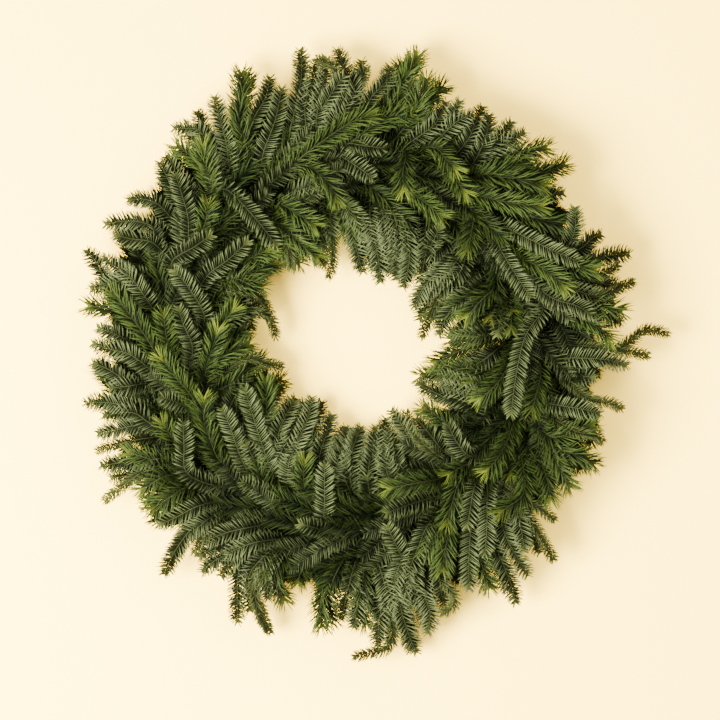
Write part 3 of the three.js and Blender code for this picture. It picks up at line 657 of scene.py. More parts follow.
def settle_heights(shoots):
    """Heights settle in small steps: crossing paths push each other apart, each by half of what
    lacks, and each stays smooth, keeps clear of the binding wire and is drawn back to the dome."""
    upper, upper_share, lower, lower_share, gap = find_crossings(shoots)
    height = np.array([s["height"] for s in shoots])
    natural = np.array([s["natural"] for s in shoots])
    floor = np.array([s["floor"] for s in shoots])

    def at(step, share):
        shoot, k = step // SAMPLES, step % SAMPLES
        return height[shoot, k] * (1 - share) + height[shoot, k + 1] * share

    def pushes(step, share, lack):
        push = np.zeros_like(height)
        shoot, k = step // SAMPLES, step % SAMPLES
        np.maximum.at(push, (shoot, k), lack * np.minimum(1, 2 * (1 - share)))
        np.maximum.at(push, (shoot, k + 1), lack * np.minimum(1, 2 * share))
        return push

    for _ in range(SETTLING_SWEEPS):
        lack = np.maximum(gap - (at(upper, upper_share) - at(lower, lower_share)), 0.0)
        move = pushes(upper, upper_share, lack) - pushes(lower, lower_share, lack)
        z = height + 0.5 * move + PULL_BACK * (natural - height)
        after = np.hstack([z[:, 2:], 2 * z[:, -1:] - z[:, -2:-1]])
        smooth = (1 - SMOOTHING) * z[:, 1:] + (SMOOTHING / 2) * (z[:, :-1] + after)
        height[:, 1:] = np.maximum(smooth, floor[:, 1:])
    for shoot, z in zip(shoots, height):
        shoot["path"] = np.column_stack([shoot["plan"], z])


# Meshes of twigs and needles, built from whole arrays


def unit(vectors):
    """The same directions, one long."""
    return vectors / np.maximum(np.linalg.norm(vectors, axis=-1, keepdims=True), TINY)


def frames_along(points):
    """Forward, sideways and upward directions along a path, sideways always level."""
    forward = unit(np.gradient(points, axis=0))
    side = unit(np.cross([0.0, 0.0, 1.0], forward))
    return forward, side, np.cross(forward, side)


def needle_faces(steps):
    """The corners of one needle's faces: quads between its rings of three points, one triangle at
    the root and three that meet at the tip."""
    k = np.arange(steps - 1)[:, None] * 3
    n = np.array([0, 1, 2])
    m = np.array([2, 0, 1])
    quads = np.stack([k + n, k + n + 3, k + m + 3, k + m], axis=-1).reshape(-1, 4)
    last = (steps - 1) * 3
    tip = steps * 3
    triangles = [[0, 1, 2], [last, tip, last + 2], [last + 1, tip, last], [last + 2, tip, last + 1]]
    return quads, np.array(triangles)


class Foliage:
    """Gathers twigs and needles, in millimetres, and makes one mesh of them. It holds how each kind
    of shoot grows, and the draws for all that varies."""

    def __init__(self, kinds, rng):
        self.kinds = kinds
        self.rng = rng
        self.vertices = []
        self.quads = []
        self.triangles = []
        self.quad_looks = []
        self.triangle_looks = []
        self.shades = []
        self.count = 0

    def add(self, vertices, quads, triangles, look, shades):
        """Adds a mesh. shades holds three numbers a vertex: its own tone, which carries painted shade
        on lower rows and older shoots, its place along a needle, and how young the growth is."""
        self.vertices.append(vertices)
        self.shades.append(shades)
        self.quads.append(quads + self.count)
        self.triangles.append(triangles + self.count)
        self.quad_looks.append(np.full(len(quads), LOOKS.index(look)))
        self.triangle_looks.append(np.full(len(triangles), LOOKS.index(look)))
        self.count += len(vertices)

    def twig(self, points, radii, sides, tone, young):
        """A round twig: a ring of points at each step of the path, closed at both ends."""
        _, side, up = frames_along(points)
        angle = np.arange(sides) * 2 * np.pi / sides
        ring = np.cos(angle)[None, :, None] * side[:, None] + np.sin(angle)[None, :, None] * up[:, None]
        body = (points[:, None] + ring * radii[:, None, None]).reshape(-1, 3)
        ends = np.stack([points[0], points[-1]])
        k, n = np.meshgrid(np.arange(len(points) - 1), np.arange(sides), indexing="ij")
        low, high, turn = k * sides, (k + 1) * sides, (n + 1) % sides
        quads = np.stack([low + n, low + turn, high + turn, high + n], axis=-1).reshape(-1, 4)
        n = np.arange(sides)
        turn = (n + 1) % sides
        last = (len(points) - 1) * sides
        butt = np.stack([np.full(sides, len(body)), turn, n], axis=1)
        tip = np.stack([np.full(sides, len(body) + 1), last + n, last + turn], axis=1)
        shades = np.column_stack([
            np.full(len(body) + 2, tone),
            np.zeros(len(body) + 2),
            np.concatenate([np.repeat(young, sides), [young[0], young[-1]]]),
        ])
        self.add(np.vstack([body, ends]), quads, np.vstack([butt, tip]), "bark", shades)

    def needles(self, roots, heading, ridge, forward, length, width, curl, look, tone, young, shape):
        """Flat needles, three-sided with a low ridge and a pointed end, which curve forward along the
        twig by curl times the square of the way along them."""
        shares, widths = (np.array(numbers) for numbers in NEEDLE_SHAPES[shape])
        count, steps = len(roots), len(widths)
        each = steps * 3 + 1
        across = unit(np.cross(ridge, heading))
        over = np.cross(heading, across)
        bend = unit(forward)
        line = roots[:, None] + length[:, None, None] * (
            heading[:, None] * (shares * (1 - CURVE_SHORTENS * curl * shares))[None, :, None]
            + bend[:, None] * (curl * shares**2)[None, :, None])
        half = 0.5 * width[:, None] * widths[None]
        body = line[:, :-1]
        rings = np.stack([
            body + across[:, None] * half[..., None],
            body - across[:, None] * half[..., None],
            body + over[:, None] * (RIDGE_HEIGHT * half)[..., None],
        ], axis=2)
        vertices = np.concatenate([rings.reshape(count, -1, 3), line[:, -1:]], axis=1).reshape(-1, 3)
        start = (np.arange(count) * each)[:, None, None]
        quads, triangles = ((faces + start).reshape(-1, faces.shape[1]) for faces in needle_faces(steps))
        place = np.append(np.repeat(shares[:-1], 3), 1.0)
        shades = np.stack([np.repeat(tone, each), np.tile(place, count), np.repeat(young, each)], axis=1)
        self.add(vertices, quads, triangles, look, shades)

    def to_object(self, name, materials, offset):
        """Makes the mesh object, in metres, moved by offset."""
        vertices = (np.concatenate(self.vertices) + offset) * MM
        quads, triangles = np.concatenate(self.quads), np.concatenate(self.triangles)
        looks = np.concatenate(self.quad_looks + self.triangle_looks)
        mesh = bpy.data.meshes.new(name)
        mesh.vertices.add(len(vertices))
        mesh.vertices.foreach_set("co", vertices.astype(np.float32).ravel())
        corners = np.concatenate([quads.ravel(), triangles.ravel()])
        totals = np.concatenate([np.full(len(quads), 4), np.full(len(triangles), 3)])
        mesh.loops.add(len(corners))
        mesh.loops.foreach_set("vertex_index", corners.astype(np.int32))
        mesh.polygons.add(len(totals))
        mesh.polygons.foreach_set("loop_start", (np.cumsum(totals) - totals).astype(np.int32))
        mesh.polygons.foreach_set("loop_total", totals.astype(np.int32))
        mesh.polygons.foreach_set("material_index", looks.astype(np.int32))
        mesh.polygons.foreach_set("use_smooth", looks == LOOKS.index("bark"))
        for column, key in enumerate(("tone", "place", "young")):
            layer = mesh.attributes.new(key, "FLOAT", "POINT")
            layer.data.foreach_set("value", np.concatenate(self.shades)[:, column].astype(np.float32))
        for material in materials:
            mesh.materials.append(material)
        mesh.update(calc_edges=True)
        mesh.validate()
        obj = bpy.data.objects.new(name, mesh)
        bpy.context.scene.collection.objects.link(obj)
        return obj


# Shoots with their twigs and needles


def resample(path, spacing):
    """Points at even steps along a path, rounded off a little."""
    along = distance_along(path)
    count = max(int(round(along[-1] / spacing)), FEWEST_STEPS)
    at = np.linspace(0.0, along[-1], count + 1)
    points = np.stack([np.interp(at, along, path[:, k]) for k in range(3)], axis=1)
    points[1:-1] = 0.5 * points[1:-1] + 0.25 * (points[:-2] + points[2:])
    return at, points


def rise(distance, reach, start):
    """From start to 1 over the reach, in a straight line, and 1 beyond."""
    return start + (1.0 - start) * np.clip(distance / reach, 0.0, 1.0)


def grow(foliage, path, kind, leafy_from, tone, fresh, shape="near"):
    """A twig along a path, with needles from leafy_from to its tip, and new growth there as far as
    fresh says. The twig thins evenly towards its tip."""
    look = foliage.kinds[kind]
    at, points = resample(path, TWIG_STEPS[shape])
    length = at[-1]
    young = fresh * (1.0 - rise(length - at, YOUNG_LENGTH, 0.0))
    radii = look["twig"] * (1.0 - TWIG_TAPER * at / length)
    foliage.twig(points, radii, TWIG_SIDES[shape], tone, young)
    count = int((length - leafy_from) * look["density"])
    if count >= FEWEST_NEEDLES:
        grow_needles(foliage, at, points, kind, leafy_from, count, tone, fresh, shape)


def spread_needles(rng, look, at, leafy_from, count):
    """Where needles stand: how far along the twig, at nearly even steps, in which row round it and
    at what angle."""
    leafy = at[-1] - leafy_from
    where = leafy_from + leafy * (np.arange(count) + 0.5) / count
    where = np.clip(where + rng.uniform(-ALONG_JITTER, ALONG_JITTER, count), 0.0, at[-1])
    row = np.resize(look["rows"], count)
    turn = np.radians(row + look["jitter"] * rng.uniform(-TURN_JITTER, TURN_JITTER, count))
    return where, row, turn


def lean_needles(rng, look, from_tip, ahead, out):
    """Which way needles point: from the twig's direction outwards by their kind's lean, and less
    near the tip, where they close in on it."""
    count = len(from_tip)
    closing = CLOSING * (1.0 - rise(from_tip, CLOSING_LENGTH, 0.0)) * rng.uniform(0, 1, count)
    lean = np.radians(look["lean"] * (1.0 - closing) + look["jitter"] * rng.uniform(-1, 1, count))
    return unit(np.cos(lean)[:, None] * ahead + np.sin(lean)[:, None] * out)


def measure_needles(rng, look, from_tip, from_base, root, heading):
    """How long needles are: shorter at both ends of the leafy stretch, and cut short where they
    would reach lower than LOWEST before they curve."""
    fullness = np.minimum(rise(from_tip, *look["short_tip"]), rise(from_base, *SHORT_BASE))
    size = look["needle"] * fullness * rng.uniform(*NEEDLE_LENGTHS, len(from_tip))
    return np.minimum(size, (root[:, 2] - LOWEST) / np.maximum(-heading[:, 2], TINY))


def grow_needles(foliage, at, points, kind, leafy_from, count, tone, fresh, shape):
    """Needles in rows along a twig, none straight below, flat side up. Each leans from the twig
    towards its row's side, and those of the lower rows are simple and darker, as painted shade."""
    look, rng = foliage.kinds[kind], foliage.rng
    where, row, turn = spread_needles(rng, look, at, leafy_from, count)
    root, ahead, across, above = (
        np.stack([np.interp(where, at, field[:, k]) for k in range(3)], axis=1)
        for field in (points, *frames_along(points)))
    out = np.sin(turn)[:, None] * across + np.cos(turn)[:, None] * above
    from_tip = at[-1] - where
    heading = lean_needles(rng, look, from_tip, ahead, out)
    size = measure_needles(rng, look, from_tip, where - leafy_from, root, heading)
    width = look["width"] * rng.uniform(*NEEDLE_WIDTHS, count)
    lower = np.abs(row) > LOWER_ROWS
    # Lower rows get a lower tone: painted shade under the twig.
    tones = tone - LOWER_ROWS_PAINTED_SHADE * lower + rng.uniform(*NEEDLE_TONES, count)
    young = fresh * (1.0 - rise(from_tip, YOUNG_LENGTH, 0.0))
    base = root + ROOT_PLACE * look["twig"] * out
    ridge = above + RIDGE_LEAN * out
    plain = lower | (shape == "deep")
    for some, own_shape in ((plain, "deep"), (~plain, "near")):
        if some.any():
            foliage.needles(
                base[some], heading[some], ridge[some], ahead[some], size[some], width[some],
                look["curl"], kind, tones[some], young[some], own_shape)


def grow_shoot(foliage, shoot, bare_share):
    """A listed shoot. Its twig ends short of its tip by what the last needles add."""
    path, kind, along, rng = shoot["path"], shoot["kind"], shoot["along"], foliage.rng
    end = along[-1] - TIP_OVERHANG * foliage.kinds[kind]["needle"]
    keep = np.append(np.nonzero(along < end - SHORTEST_END)[0], -1)
    short = path[keep].copy()
    last = keep[-2]
    short[-1] = path[last] + (path[-1] - path[last]) * (end - along[last]) / (along[-1] - along[last])
    tone = rng.uniform(*SHOOT_TONES)
    fresh = rng.uniform(*SHOOT_FRESHNESS) * FRESHNESS[kind]
    grow(foliage, short, kind, shoot["base"] * bare_share, tone, fresh)


def grow_stem(foliage, lane, slot):
    """The stem that lies along the ring, under the binding wire."""
    back = np.linspace(STEM_LENGTH, -STEM_PAST_END, STEM_POINTS)
    points = np.array([stem_point(lane, slot, each) for each in back])
    foliage.twig(points, np.full(STEM_POINTS, BARK_RADIUS), STEM_SIDES, STEM_TONE, np.zeros(STEM_POINTS))


# Older shoots by rule, in each spray: the radius and height that they pass, those at which they end,
# and how far round the ring they run, in millimetres and radians. The lowest ones are listed apart.

OLDER_SHOOTS = {
    "outer": [
        (212, 24, 252, 34, 0.30),
        (205, 30, 248, 40, 0.16),
        (216, 18, 250, 24, 0.42),
        (200, 40, 236, 52, 0.24),
        (208, 20, 254, 22, 0.10),
        (218, 34, 257, 40, 0.22),
        (202, 26, 240, 28, 0.52),
    ],
    "top": [
        (172, 46, 172, 60, 0.34),
        (186, 38, 214, 52, 0.18),
        (165, 38, 152, 51, 0.22),
        (182, 44, 188, 58, 0.42),
        (188, 44, 226, 51, 0.30),
    ],
    "inner": [
        (158, 30, 126, 40, 0.22),
        (152, 20, 116, 28, 0.34),
        (160, 26, 134, 34, 0.10),
        (164, 42, 142, 54, 0.32),
        (150, 18, 112, 22, 0.16),
        (148, 30, 110, 36, 0.26),
        (154, 36, 118, 44, 0.30),
    ],
}
LOWEST_SHOOTS = {
    "outer": [
        (206, 20, 238, 21, 0.30),
        (200, 22, 228, 26, 0.18),
        (212, 20, 233, 19, 0.44),
        (206, 22, 236, 24, 0.46),
    ],
    "top": [
        (176, 20, 190, 26, 0.30),
        (170, 28, 160, 34, 0.40),
        (184, 30, 208, 36, 0.36),
    ],
    "inner": [
        (156, 20, 124, 20, 0.26),
        (152, 22, 130, 24, 0.42),
        (160, 18, 140, 20, 0.14),
        (154, 22, 121, 23, 0.38),
    ],
}

# Their tones, kept low as painted shade deep in the wreath, and how much what they pass and where
# they end vary: radius and height in millimetres, and the turn round the ring as a share. All turn a
# little more at the end, and are bare at the base.

OLDER_TONES_WITH_PAINTED_SHADE = {"outer": (-0.05, 0.35), "top": (0.0, 0.4), "inner": (0.0, 0.4)}
LOWEST_TONES_WITH_PAINTED_SHADE = {"outer": (-0.2, 0.15), "top": (-0.4, 0.0), "inner": (-0.3, 0.05)}
MIDDLE_SPREAD = (7, 4)
END_SPREAD = (11, 6)
TURN_SPREAD = (0.6, 1.4)
END_TURN = 0.12
OLDER_GLOSSY_SHARE = 0.4
OLDER_BARE_LENGTH = 12.0

# How much further out these shoots end in some sprays, less than zero being further in, where gaps
# show between the listed ones, in millimetres

RIM_SHIFTS = {
    "outer": {
        0: -11.0, 2: -4.0, 8: -5.0, 9: -5.0, 10: -4.0, 11: -10.0, 12: -5.0, 14: -8.0, 17: -8.0, 18: -6.0,
    },
    "top": {},
    "inner": {7: 4.0, 8: 11.0, 9: 8.0},
}


def vary(rng, middle, spread):
    """A number near the middle, either way by up to the spread."""
    return middle + rng.uniform(-spread, spread)


def older_path(rng, lane, slot, near, low, far, high, ahead):
    """A smooth path from the stem's end through one radius and height to another, clockwise."""
    turn = ahead * rng.uniform(*TURN_SPREAD)
    angle = slot_angle(lane, slot)
    middle = polar(vary(rng, near, MIDDLE_SPREAD[0]), angle - 0.5 * turn, vary(rng, low, MIDDLE_SPREAD[1]))
    radius = vary(rng, far, END_SPREAD[0]) + RIM_SHIFTS[lane].get(slot, 0.0)
    tip = polar(radius, angle - turn - END_TURN, vary(rng, high, END_SPREAD[1]))
    return smooth_curve(np.stack([stem_point(lane, slot, 0), middle, tip]), SAMPLES)


def grow_older_shoots(foliage, lane, slot):
    """Older shoots low in the spray, which fill the wreath behind what shows. The lowest are all
    glossy. All are darkened as painted shade deep in the wreath, the lowest most."""
    rng = foliage.rng
    for rows, tones, lowest in (
        (OLDER_SHOOTS, OLDER_TONES_WITH_PAINTED_SHADE, False),
        (LOWEST_SHOOTS, LOWEST_TONES_WITH_PAINTED_SHADE, True),
    ):
        for row in rows[lane]:
            path = older_path(rng, lane, slot, *row)
            glossy = rng.uniform() < OLDER_GLOSSY_SHARE or lowest
            tone = rng.uniform(*tones[lane])
            grow(foliage, path, "glossy" if glossy else "silver", OLDER_BARE_LENGTH, tone, 0.0, "deep")


def sprigs_by_slot():
    """The listed sprigs, each under the number of the top stem behind its base."""
    sprigs = {slot: [] for slot in range(SLOTS)}
    for kind, *numbers in SPRIGS:
        points = board_points(numbers)
        sprigs[choose_slot("top", points, np.zeros(SLOTS))].append((kind, points))
    return sprigs


def grow_sprig(foliage, kind, points, slot):
    """A sprig that shows between the listed shoots: it rises from its stem to just under the
    foliage's surface."""
    root = stem_point("top", slot, 0)
    plan = smooth_curve(np.vstack([root[:2], points]), SAMPLES)
    along = distance_along(plan)
    surface = dome_height(np.hypot(plan[:, 0], plan[:, 1])) - SPRIG_DEPTH
    path = np.column_stack([plan, np.minimum(root[2] + along, np.maximum(surface, LEAFY_FLOOR))])
    tone = foliage.rng.uniform(*SPRIG_TONES)
    fresh = foliage.rng.uniform(*SPRIG_FRESHNESS)
    grow(foliage, path, kind, along[-1] * SPRIG_BARE_SHARE, tone, fresh)


# Node trees


class Wire:
    """An output socket that can be reckoned with: sums and products of it make Math nodes."""

    def __init__(self, tree, socket):
        self.tree = tree
        self.socket = socket

    def _math(self, operation, first, second):
        return self.tree.node("ShaderNodeMath", {"operation": operation}, [first, second])

    def __add__(self, other):
        return self._math("ADD", self, other)

    __radd__ = __add__

    def __sub__(self, other):
        return self._math("SUBTRACT", self, other)

    def __rsub__(self, other):
        return self._math("SUBTRACT", other, self)

    def __mul__(self, other):
        return self._math("MULTIPLY", self, other)

    __rmul__ = __mul__

    def ramp(self, low, high):
        """0 below low, 1 above high and smooth between."""
        inputs = {"Value": self, "From Min": low, "From Max": high}
        return self.tree.node("ShaderNodeMapRange", {"interpolation_type": "SMOOTHSTEP"}, inputs)


class Tree:
    """A material's nodes, written as formulas."""

    def __init__(self, name, constants):
        self.material = bpy.data.materials.new(name)
        self.material.use_nodes = True
        self.nodes = self.material.node_tree.nodes
        self.links = self.material.node_tree.links
        self.shader = next(n for n in self.nodes if n.type == "BSDF_PRINCIPLED")
        for key, value in constants.items():
            self.plug(self.shader.inputs[key], value)

    def node(self, kind, settings, inputs, output=0):
        """Any node: its settings, then its socket values or links, and which output is wanted."""
        node = self.nodes.new(kind)
        for key, value in settings.items():
            setattr(node, key, value)
        pairs = inputs.items() if isinstance(inputs, dict) else enumerate(inputs)
        for key, value in pairs:
            self.plug(node.inputs[key], value)
        return Wire(self, node.outputs[output])

    def plug(self, socket, value):
        """Links a wire to a socket, or sets the socket's value."""
        if isinstance(value, Wire):
            self.links.new(value.socket, socket)
        elif socket.type == "RGBA":
            socket.default_value = (*value, 1.0)
        else:
            socket.default_value = value

    def attribute(self, name):
        """A number that the mesh carries at each point."""
        return self.node("ShaderNodeAttribute", {"attribute_name": name}, {}, "Fac")

    def noise(self, scale, detail):
        """Smooth noise over the object, from 0 to 1."""
        place = self.node("ShaderNodeTexCoord", {}, {}, "Object")
        return self.node("ShaderNodeTexNoise", {}, {"Vector": place, "Scale": scale, "Detail": detail}, "Fac")

    def mix(self, share, first, second):
        """A colour between two."""
        inputs = {0: share, 6: first, 7: second}
        return self.node("ShaderNodeMix", {"data_type": "RGBA"}, inputs, 2)

    def bump(self, height, strength, distance):
        """Makes the surface rise and fall with height."""
        wire = self.node("ShaderNodeBump", {}, {"Strength": strength, "Distance": distance, "Height": height})
        self.plug(self.shader.inputs["Normal"], wire)


# Finishes. Noise has its scale and detail, bumps have their strength and their height in metres, and
# roughness and the share of green are a base and what the noise or the growth adds.

# place: how much darker a needle's root is than its tip, painted shade where it meets the twig
NEEDLES = {
    "patches": (14.0, 2.0), "tone": 0.85, "place": 0.65, "patch": 0.3, "level": 0.48,
    "range": (-0.25, 0.93), "fresh": 0.8, "roughness": 0.2,
}
SHEEN = {"silver": (0.5, 0.02), "glossy": (0.45, 0.03), "slim": (0.5, 0.02)}
BARK = {
    "grain": (420.0, 4.0), "green": (0.6, 0.4), "roughness": (0.6, 0.25), "bump": (0.5, 0.0004),
    "gloss": 0.02,
}
ENAMEL = {
    "wear": (260.0, 5.0), "worn": (0.58, 0.72), "roughness": (0.32, 0.3), "bump": (0.25, 0.0002),
}
METALLIC = {"ring": 0.4, "binding": 0.5}


def needle_material(name, dark, light, fresh):
    """Needles: darker at the root, painted shade where they meet the twig, and on the older shoots deep
    in the wreath, painted shade too, lighter by their own tone and by broad patches, and the colour of
    new growth near a shoot's tip."""
    roughness, gloss = SHEEN[name]
    tree = Tree(name, {"Specular IOR Level": gloss})
    tone, place, young = (tree.attribute(key) for key in ("tone", "place", "young"))
    patches = tree.noise(*NEEDLES["patches"])
    # The weight on place darkens each needle's root: painted shade where it meets the twig.
    level = tone * NEEDLES["tone"] + place * NEEDLES["place"] + patches * NEEDLES["patch"]
    # body runs from the deep colour, painted shade, to the lit colour, painted light.
    body = tree.mix((level - NEEDLES["level"]).ramp(*NEEDLES["range"]), dark, light)
    tree.plug(tree.shader.inputs["Base Color"], tree.mix(young * NEEDLES["fresh"], body, fresh))
    tree.plug(tree.shader.inputs["Roughness"], roughness + NEEDLES["roughness"] * patches)
    return tree.material


def bark_material(settings):
    """Bark: brown on old wood and yellow-green on young twigs, with a fine grain of cracks."""
    tree = Tree("bark", {"Specular IOR Level": BARK["gloss"]})
    tone, young = tree.attribute("tone"), tree.attribute("young")
    grain = tree.noise(*BARK["grain"])
    old = tree.mix(grain, settings.crack, settings.bark)
    # Twigs of low tone take the darker colour: dark sprays, and painted shade on the deep older shoots.
    green = tree.mix(tone, settings.dark_and_shaded_twig, settings.young_twig)
    share, more = BARK["green"]
    tree.plug(tree.shader.inputs["Base Color"], tree.mix(share + more * young, old, green))
    rough, rougher = BARK["roughness"]
    tree.plug(tree.shader.inputs["Roughness"], rough + rougher * grain)
    tree.bump(grain, *BARK["bump"])
    return tree.material


def wire_material(part, enamel, bare_metal):
    """Enamelled wire, with fine bumps and spots worn down to the metal."""
    tree = Tree(f"{part} enamel", {"Metallic": METALLIC[part]})
    wear = tree.noise(*ENAMEL["wear"])
    colour = tree.mix(wear.ramp(*ENAMEL["worn"]), enamel, bare_metal)
    tree.plug(tree.shader.inputs["Base Color"], colour)
    rough, rougher = ENAMEL["roughness"]
    tree.plug(tree.shader.inputs["Roughness"], rough + rougher * wear)
    tree.bump(wear, *ENAMEL["bump"])
    return tree.material


def foliage_materials(settings):
    """The materials of twigs and needles, in the order of LOOKS, made once."""
    if "bark" not in bpy.data.materials:
        for kind in KINDS:
            colours = (getattr(settings, f"{kind}_{part}") for part in ("dark", "light", "fresh"))
            needle_material(kind, *colours)
        bark_material(settings)
    return [bpy.data.materials[name] for name in LOOKS]


# Pieces


def ring_centre():
    """How far the ring's middle lies from the row's origin, in millimetres."""
    low, high = (np.array(corner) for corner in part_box("wire_ring"))
    middle = (low + high) / 2 / MM
    return np.array([middle[0], middle[1], 0.0])


def build_spray(lane, slot, shoots, sprigs, settings):
    """The mesh of one spray: its stem, its listed shoots, the ones by rule and the sprigs."""
    kinds = {kind: {**look, "needle": getattr(settings, f"{kind}_needle") / MM}
             for kind, look in KINDS.items()}
    rng = np.random.default_rng([settings.seed, list(LANES).index(lane), slot])
    foliage = Foliage(kinds, rng)
    grow_stem(foliage, lane, slot)
    for shoot in shoots:
        grow_shoot(foliage, shoot, settings.bare_share)
    grow_older_shoots(foliage, lane, slot)
    for kind, points in sprigs:
        grow_sprig(foliage, kind, points, slot)
    return foliage


def build_sprays(lane, settings):
    """Makes one piece for each spray of a lane and puts it in place of its solid."""
    shoots = make_shoots()
    settle_heights(shoots)
    sprigs = sprigs_by_slot() if lane == "top" else {}
    for slot in range(SLOTS):
        members = [s for s in shoots if s["lane"] == lane and s["slot"] == slot]
        if not members:
            continue
        foliage = build_spray(lane, slot, members, sprigs.get(slot, []), settings)
        name = f"{lane}_{slot + 1:02d}"
        piece = foliage.to_object(f"fir_{name}", foliage_materials(settings), ring_centre())
        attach(piece, "root")
        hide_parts(f"spray_{name}")


def size_setting(name, description, default):
    """A length that a user may change."""
    return bpy.props.FloatProperty(name=name, description=description, default=default, unit="LENGTH")


def colour_setting(name, description, default):
    """A linear colour that a user may change."""
    return bpy.props.FloatVectorProperty(
        name=name, description=description, default=default, size=3, min=0.0, max=1.0, subtype="COLOR")


def power_setting(name, description, default):
    """A light's power that a user may change."""
    return bpy.props.FloatProperty(name=name, description=description, default=default, unit="POWER")


class FoliageSettings(bpy.types.PropertyGroup):
    """Sizes and colours of needles and twigs: grey-green fir, glossy fir and slim old sprigs."""

    seed: bpy.props.IntProperty(name="Seed", description="Seed of all that varies", default=7)
    bare_share: bpy.props.FloatProperty(
        name="Bare share", description="Share of a shoot's hidden base that has no needles",
        default=0.6, subtype="FACTOR")
    silver_needle: size_setting("Grey needle", "Length of the grey-green fir's needles", 0.0128)
    glossy_needle: size_setting("Glossy needle", "Length of the glossy fir's needles", 0.0185)
    slim_needle: size_setting("Slim needle", "Length of the slim sprigs' needles", 0.0092)
    # Deep and lit colours: each kind's needle colour as painted shade and painted light; own tone also varies
    silver_dark: colour_setting("Grey, deep", "Grey-green needles deep inside", (0.0010, 0.0019, 0.0002))
    silver_light: colour_setting("Grey, lit", "Grey-green needles on top", (0.0440, 0.0566, 0.0218))
    silver_fresh: colour_setting("Grey, new", "New growth of the grey-green fir", (0.050, 0.062, 0.016))
    glossy_dark: colour_setting("Glossy, deep", "Glossy needles deep inside", (0.0005, 0.0013, 0.0001))
    glossy_light: colour_setting("Glossy, lit", "Glossy needles on top", (0.0220, 0.0355, 0.0070))
    glossy_fresh: colour_setting("Glossy, new", "New growth of the glossy fir", (0.064, 0.083, 0.0085))
    slim_dark: colour_setting("Slim, deep", "Slim sprigs' needles deep inside", (0.0016, 0.0021, 0.0003))
    slim_light: colour_setting("Slim, lit", "Slim sprigs' needles on top", (0.026, 0.033, 0.0095))
    slim_fresh: colour_setting("Slim, new", "New growth of the slim sprigs", (0.039, 0.048, 0.012))
    crack: colour_setting("Cracks", "Cracks in the bark", (0.008, 0.006, 0.002))
    bark: colour_setting("Bark", "Bark of old wood", (0.021, 0.018, 0.007))
    # Colour of twigs of low tone: dark sprays, and painted shade on the older shoots deep inside
    dark_and_shaded_twig: colour_setting("Older twigs", "Twigs of a dark spray", (0.010, 0.015, 0.0035))
    young_twig: colour_setting("Younger twigs", "Twigs of a light spray", (0.026, 0.037, 0.012))


class WireSettings(bpy.types.PropertyGroup):
    """Colours of the two wires."""

    ring_enamel: colour_setting("Ring enamel", "Enamel on the ring", (0.010, 0.030, 0.012))
    binding_enamel: colour_setting("Binding enamel", "Enamel on the binding wire", (0.012, 0.040, 0.016))
    bare_metal: colour_setting("Bare metal", "Metal where the enamel is worn", (0.18, 0.17, 0.145))


class StageSettings(bpy.types.PropertyGroup):
    """Floor, light and camera."""

    floor: colour_setting("Floor", "Paper under the wreath", (1.0, 0.70, 0.085))
    light: colour_setting("Light", "Tint of all lights", (1.0, 0.95, 0.87))
    frame_width: size_setting("Frame width", "Width of floor that the picture shows", 0.72)
    camera_height: size_setting("Camera height", "Height of the camera over the floor", 8.0)
    key_power: power_setting("Key power", "Power of the key light", 650.0)
    fill_power: power_setting("Fill power", "Power of the fill light", 260.0)


class SprayOperator:
    """What the three spray operators share."""

    bl_options = {"REGISTER", "UNDO"}
    lane = ""

    def execute(self, context):
        build_sprays(self.lane, context.scene.wreath_foliage)
        return {"FINISHED"}


class WREATH_OT_outer_sprays(SprayOperator, bpy.types.Operator):
    """Grow the sprays of the wreath's outer rim"""

    bl_idname = "wreath.outer_sprays"
    bl_label = "Outer sprays"
    lane = "outer"


class WREATH_OT_top_sprays(SprayOperator, bpy.types.Operator):
    """Grow the sprays that lie over the ring"""

    bl_idname = "wreath.top_sprays"
    bl_label = "Top sprays"
    lane = "top"


class WREATH_OT_inner_sprays(SprayOperator, bpy.types.Operator):
    """Grow the sprays of the rim of the hole"""

    bl_idname = "wreath.inner_sprays"
    bl_label = "Inner sprays"
    lane = "inner"


# The stage, in metres, but for the camera: its sensor and how far it stands off the ring's middle are
# in millimetres

FLOOR_SIZE = 12.0
FLOOR_GAP = 0.0003
FLOOR_FINISH = {"Roughness": 0.9, "Specular IOR Level": 0.1}
WORLD_STRENGTH = 1.55
LIGHTS = {
    "key": {"place": Vector((-1.35, -0.5, 1.5)), "size": 1.2},
    "fill": {"place": Vector((1.4, 1.6, 2.4)), "size": 2.4},
}
LIT_POINT = Vector((0.0, 0.0, 0.05))
SENSOR_WIDTH = 36.0
CAMERA_SHIFT = np.array([6.0, -14.0, 0.0])
FARTHEST_SEEN = 100.0


def finish_wire(node, material):
    """Gives a wire's own solid its material."""
    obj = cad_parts[node]
    obj.data.materials.clear()
    obj.data.materials.append(material)


class WREATH_OT_ring(bpy.types.Operator):
    """Finish the wire ring that the sprays are bound to"""

    bl_idname = "wreath.ring"
    bl_label = "Wire ring"
    bl_options = {"REGISTER", "UNDO"}

    def execute(self, context):
        wires = context.scene.wreath_wires
        finish_wire("wire_ring", wire_material("ring", wires.ring_enamel, wires.bare_metal))
        return {"FINISHED"}


class WREATH_OT_binding(bpy.types.Operator):
    """Finish the binding wire"""

    bl_idname = "wreath.binding"
    bl_label = "Binding wire"
    bl_options = {"REGISTER", "UNDO"}

    def execute(self, context):
        wires = context.scene.wreath_wires
        finish_wire("binding_wire", wire_material("binding", wires.binding_enamel, wires.bare_metal))
        return {"FINISHED"}


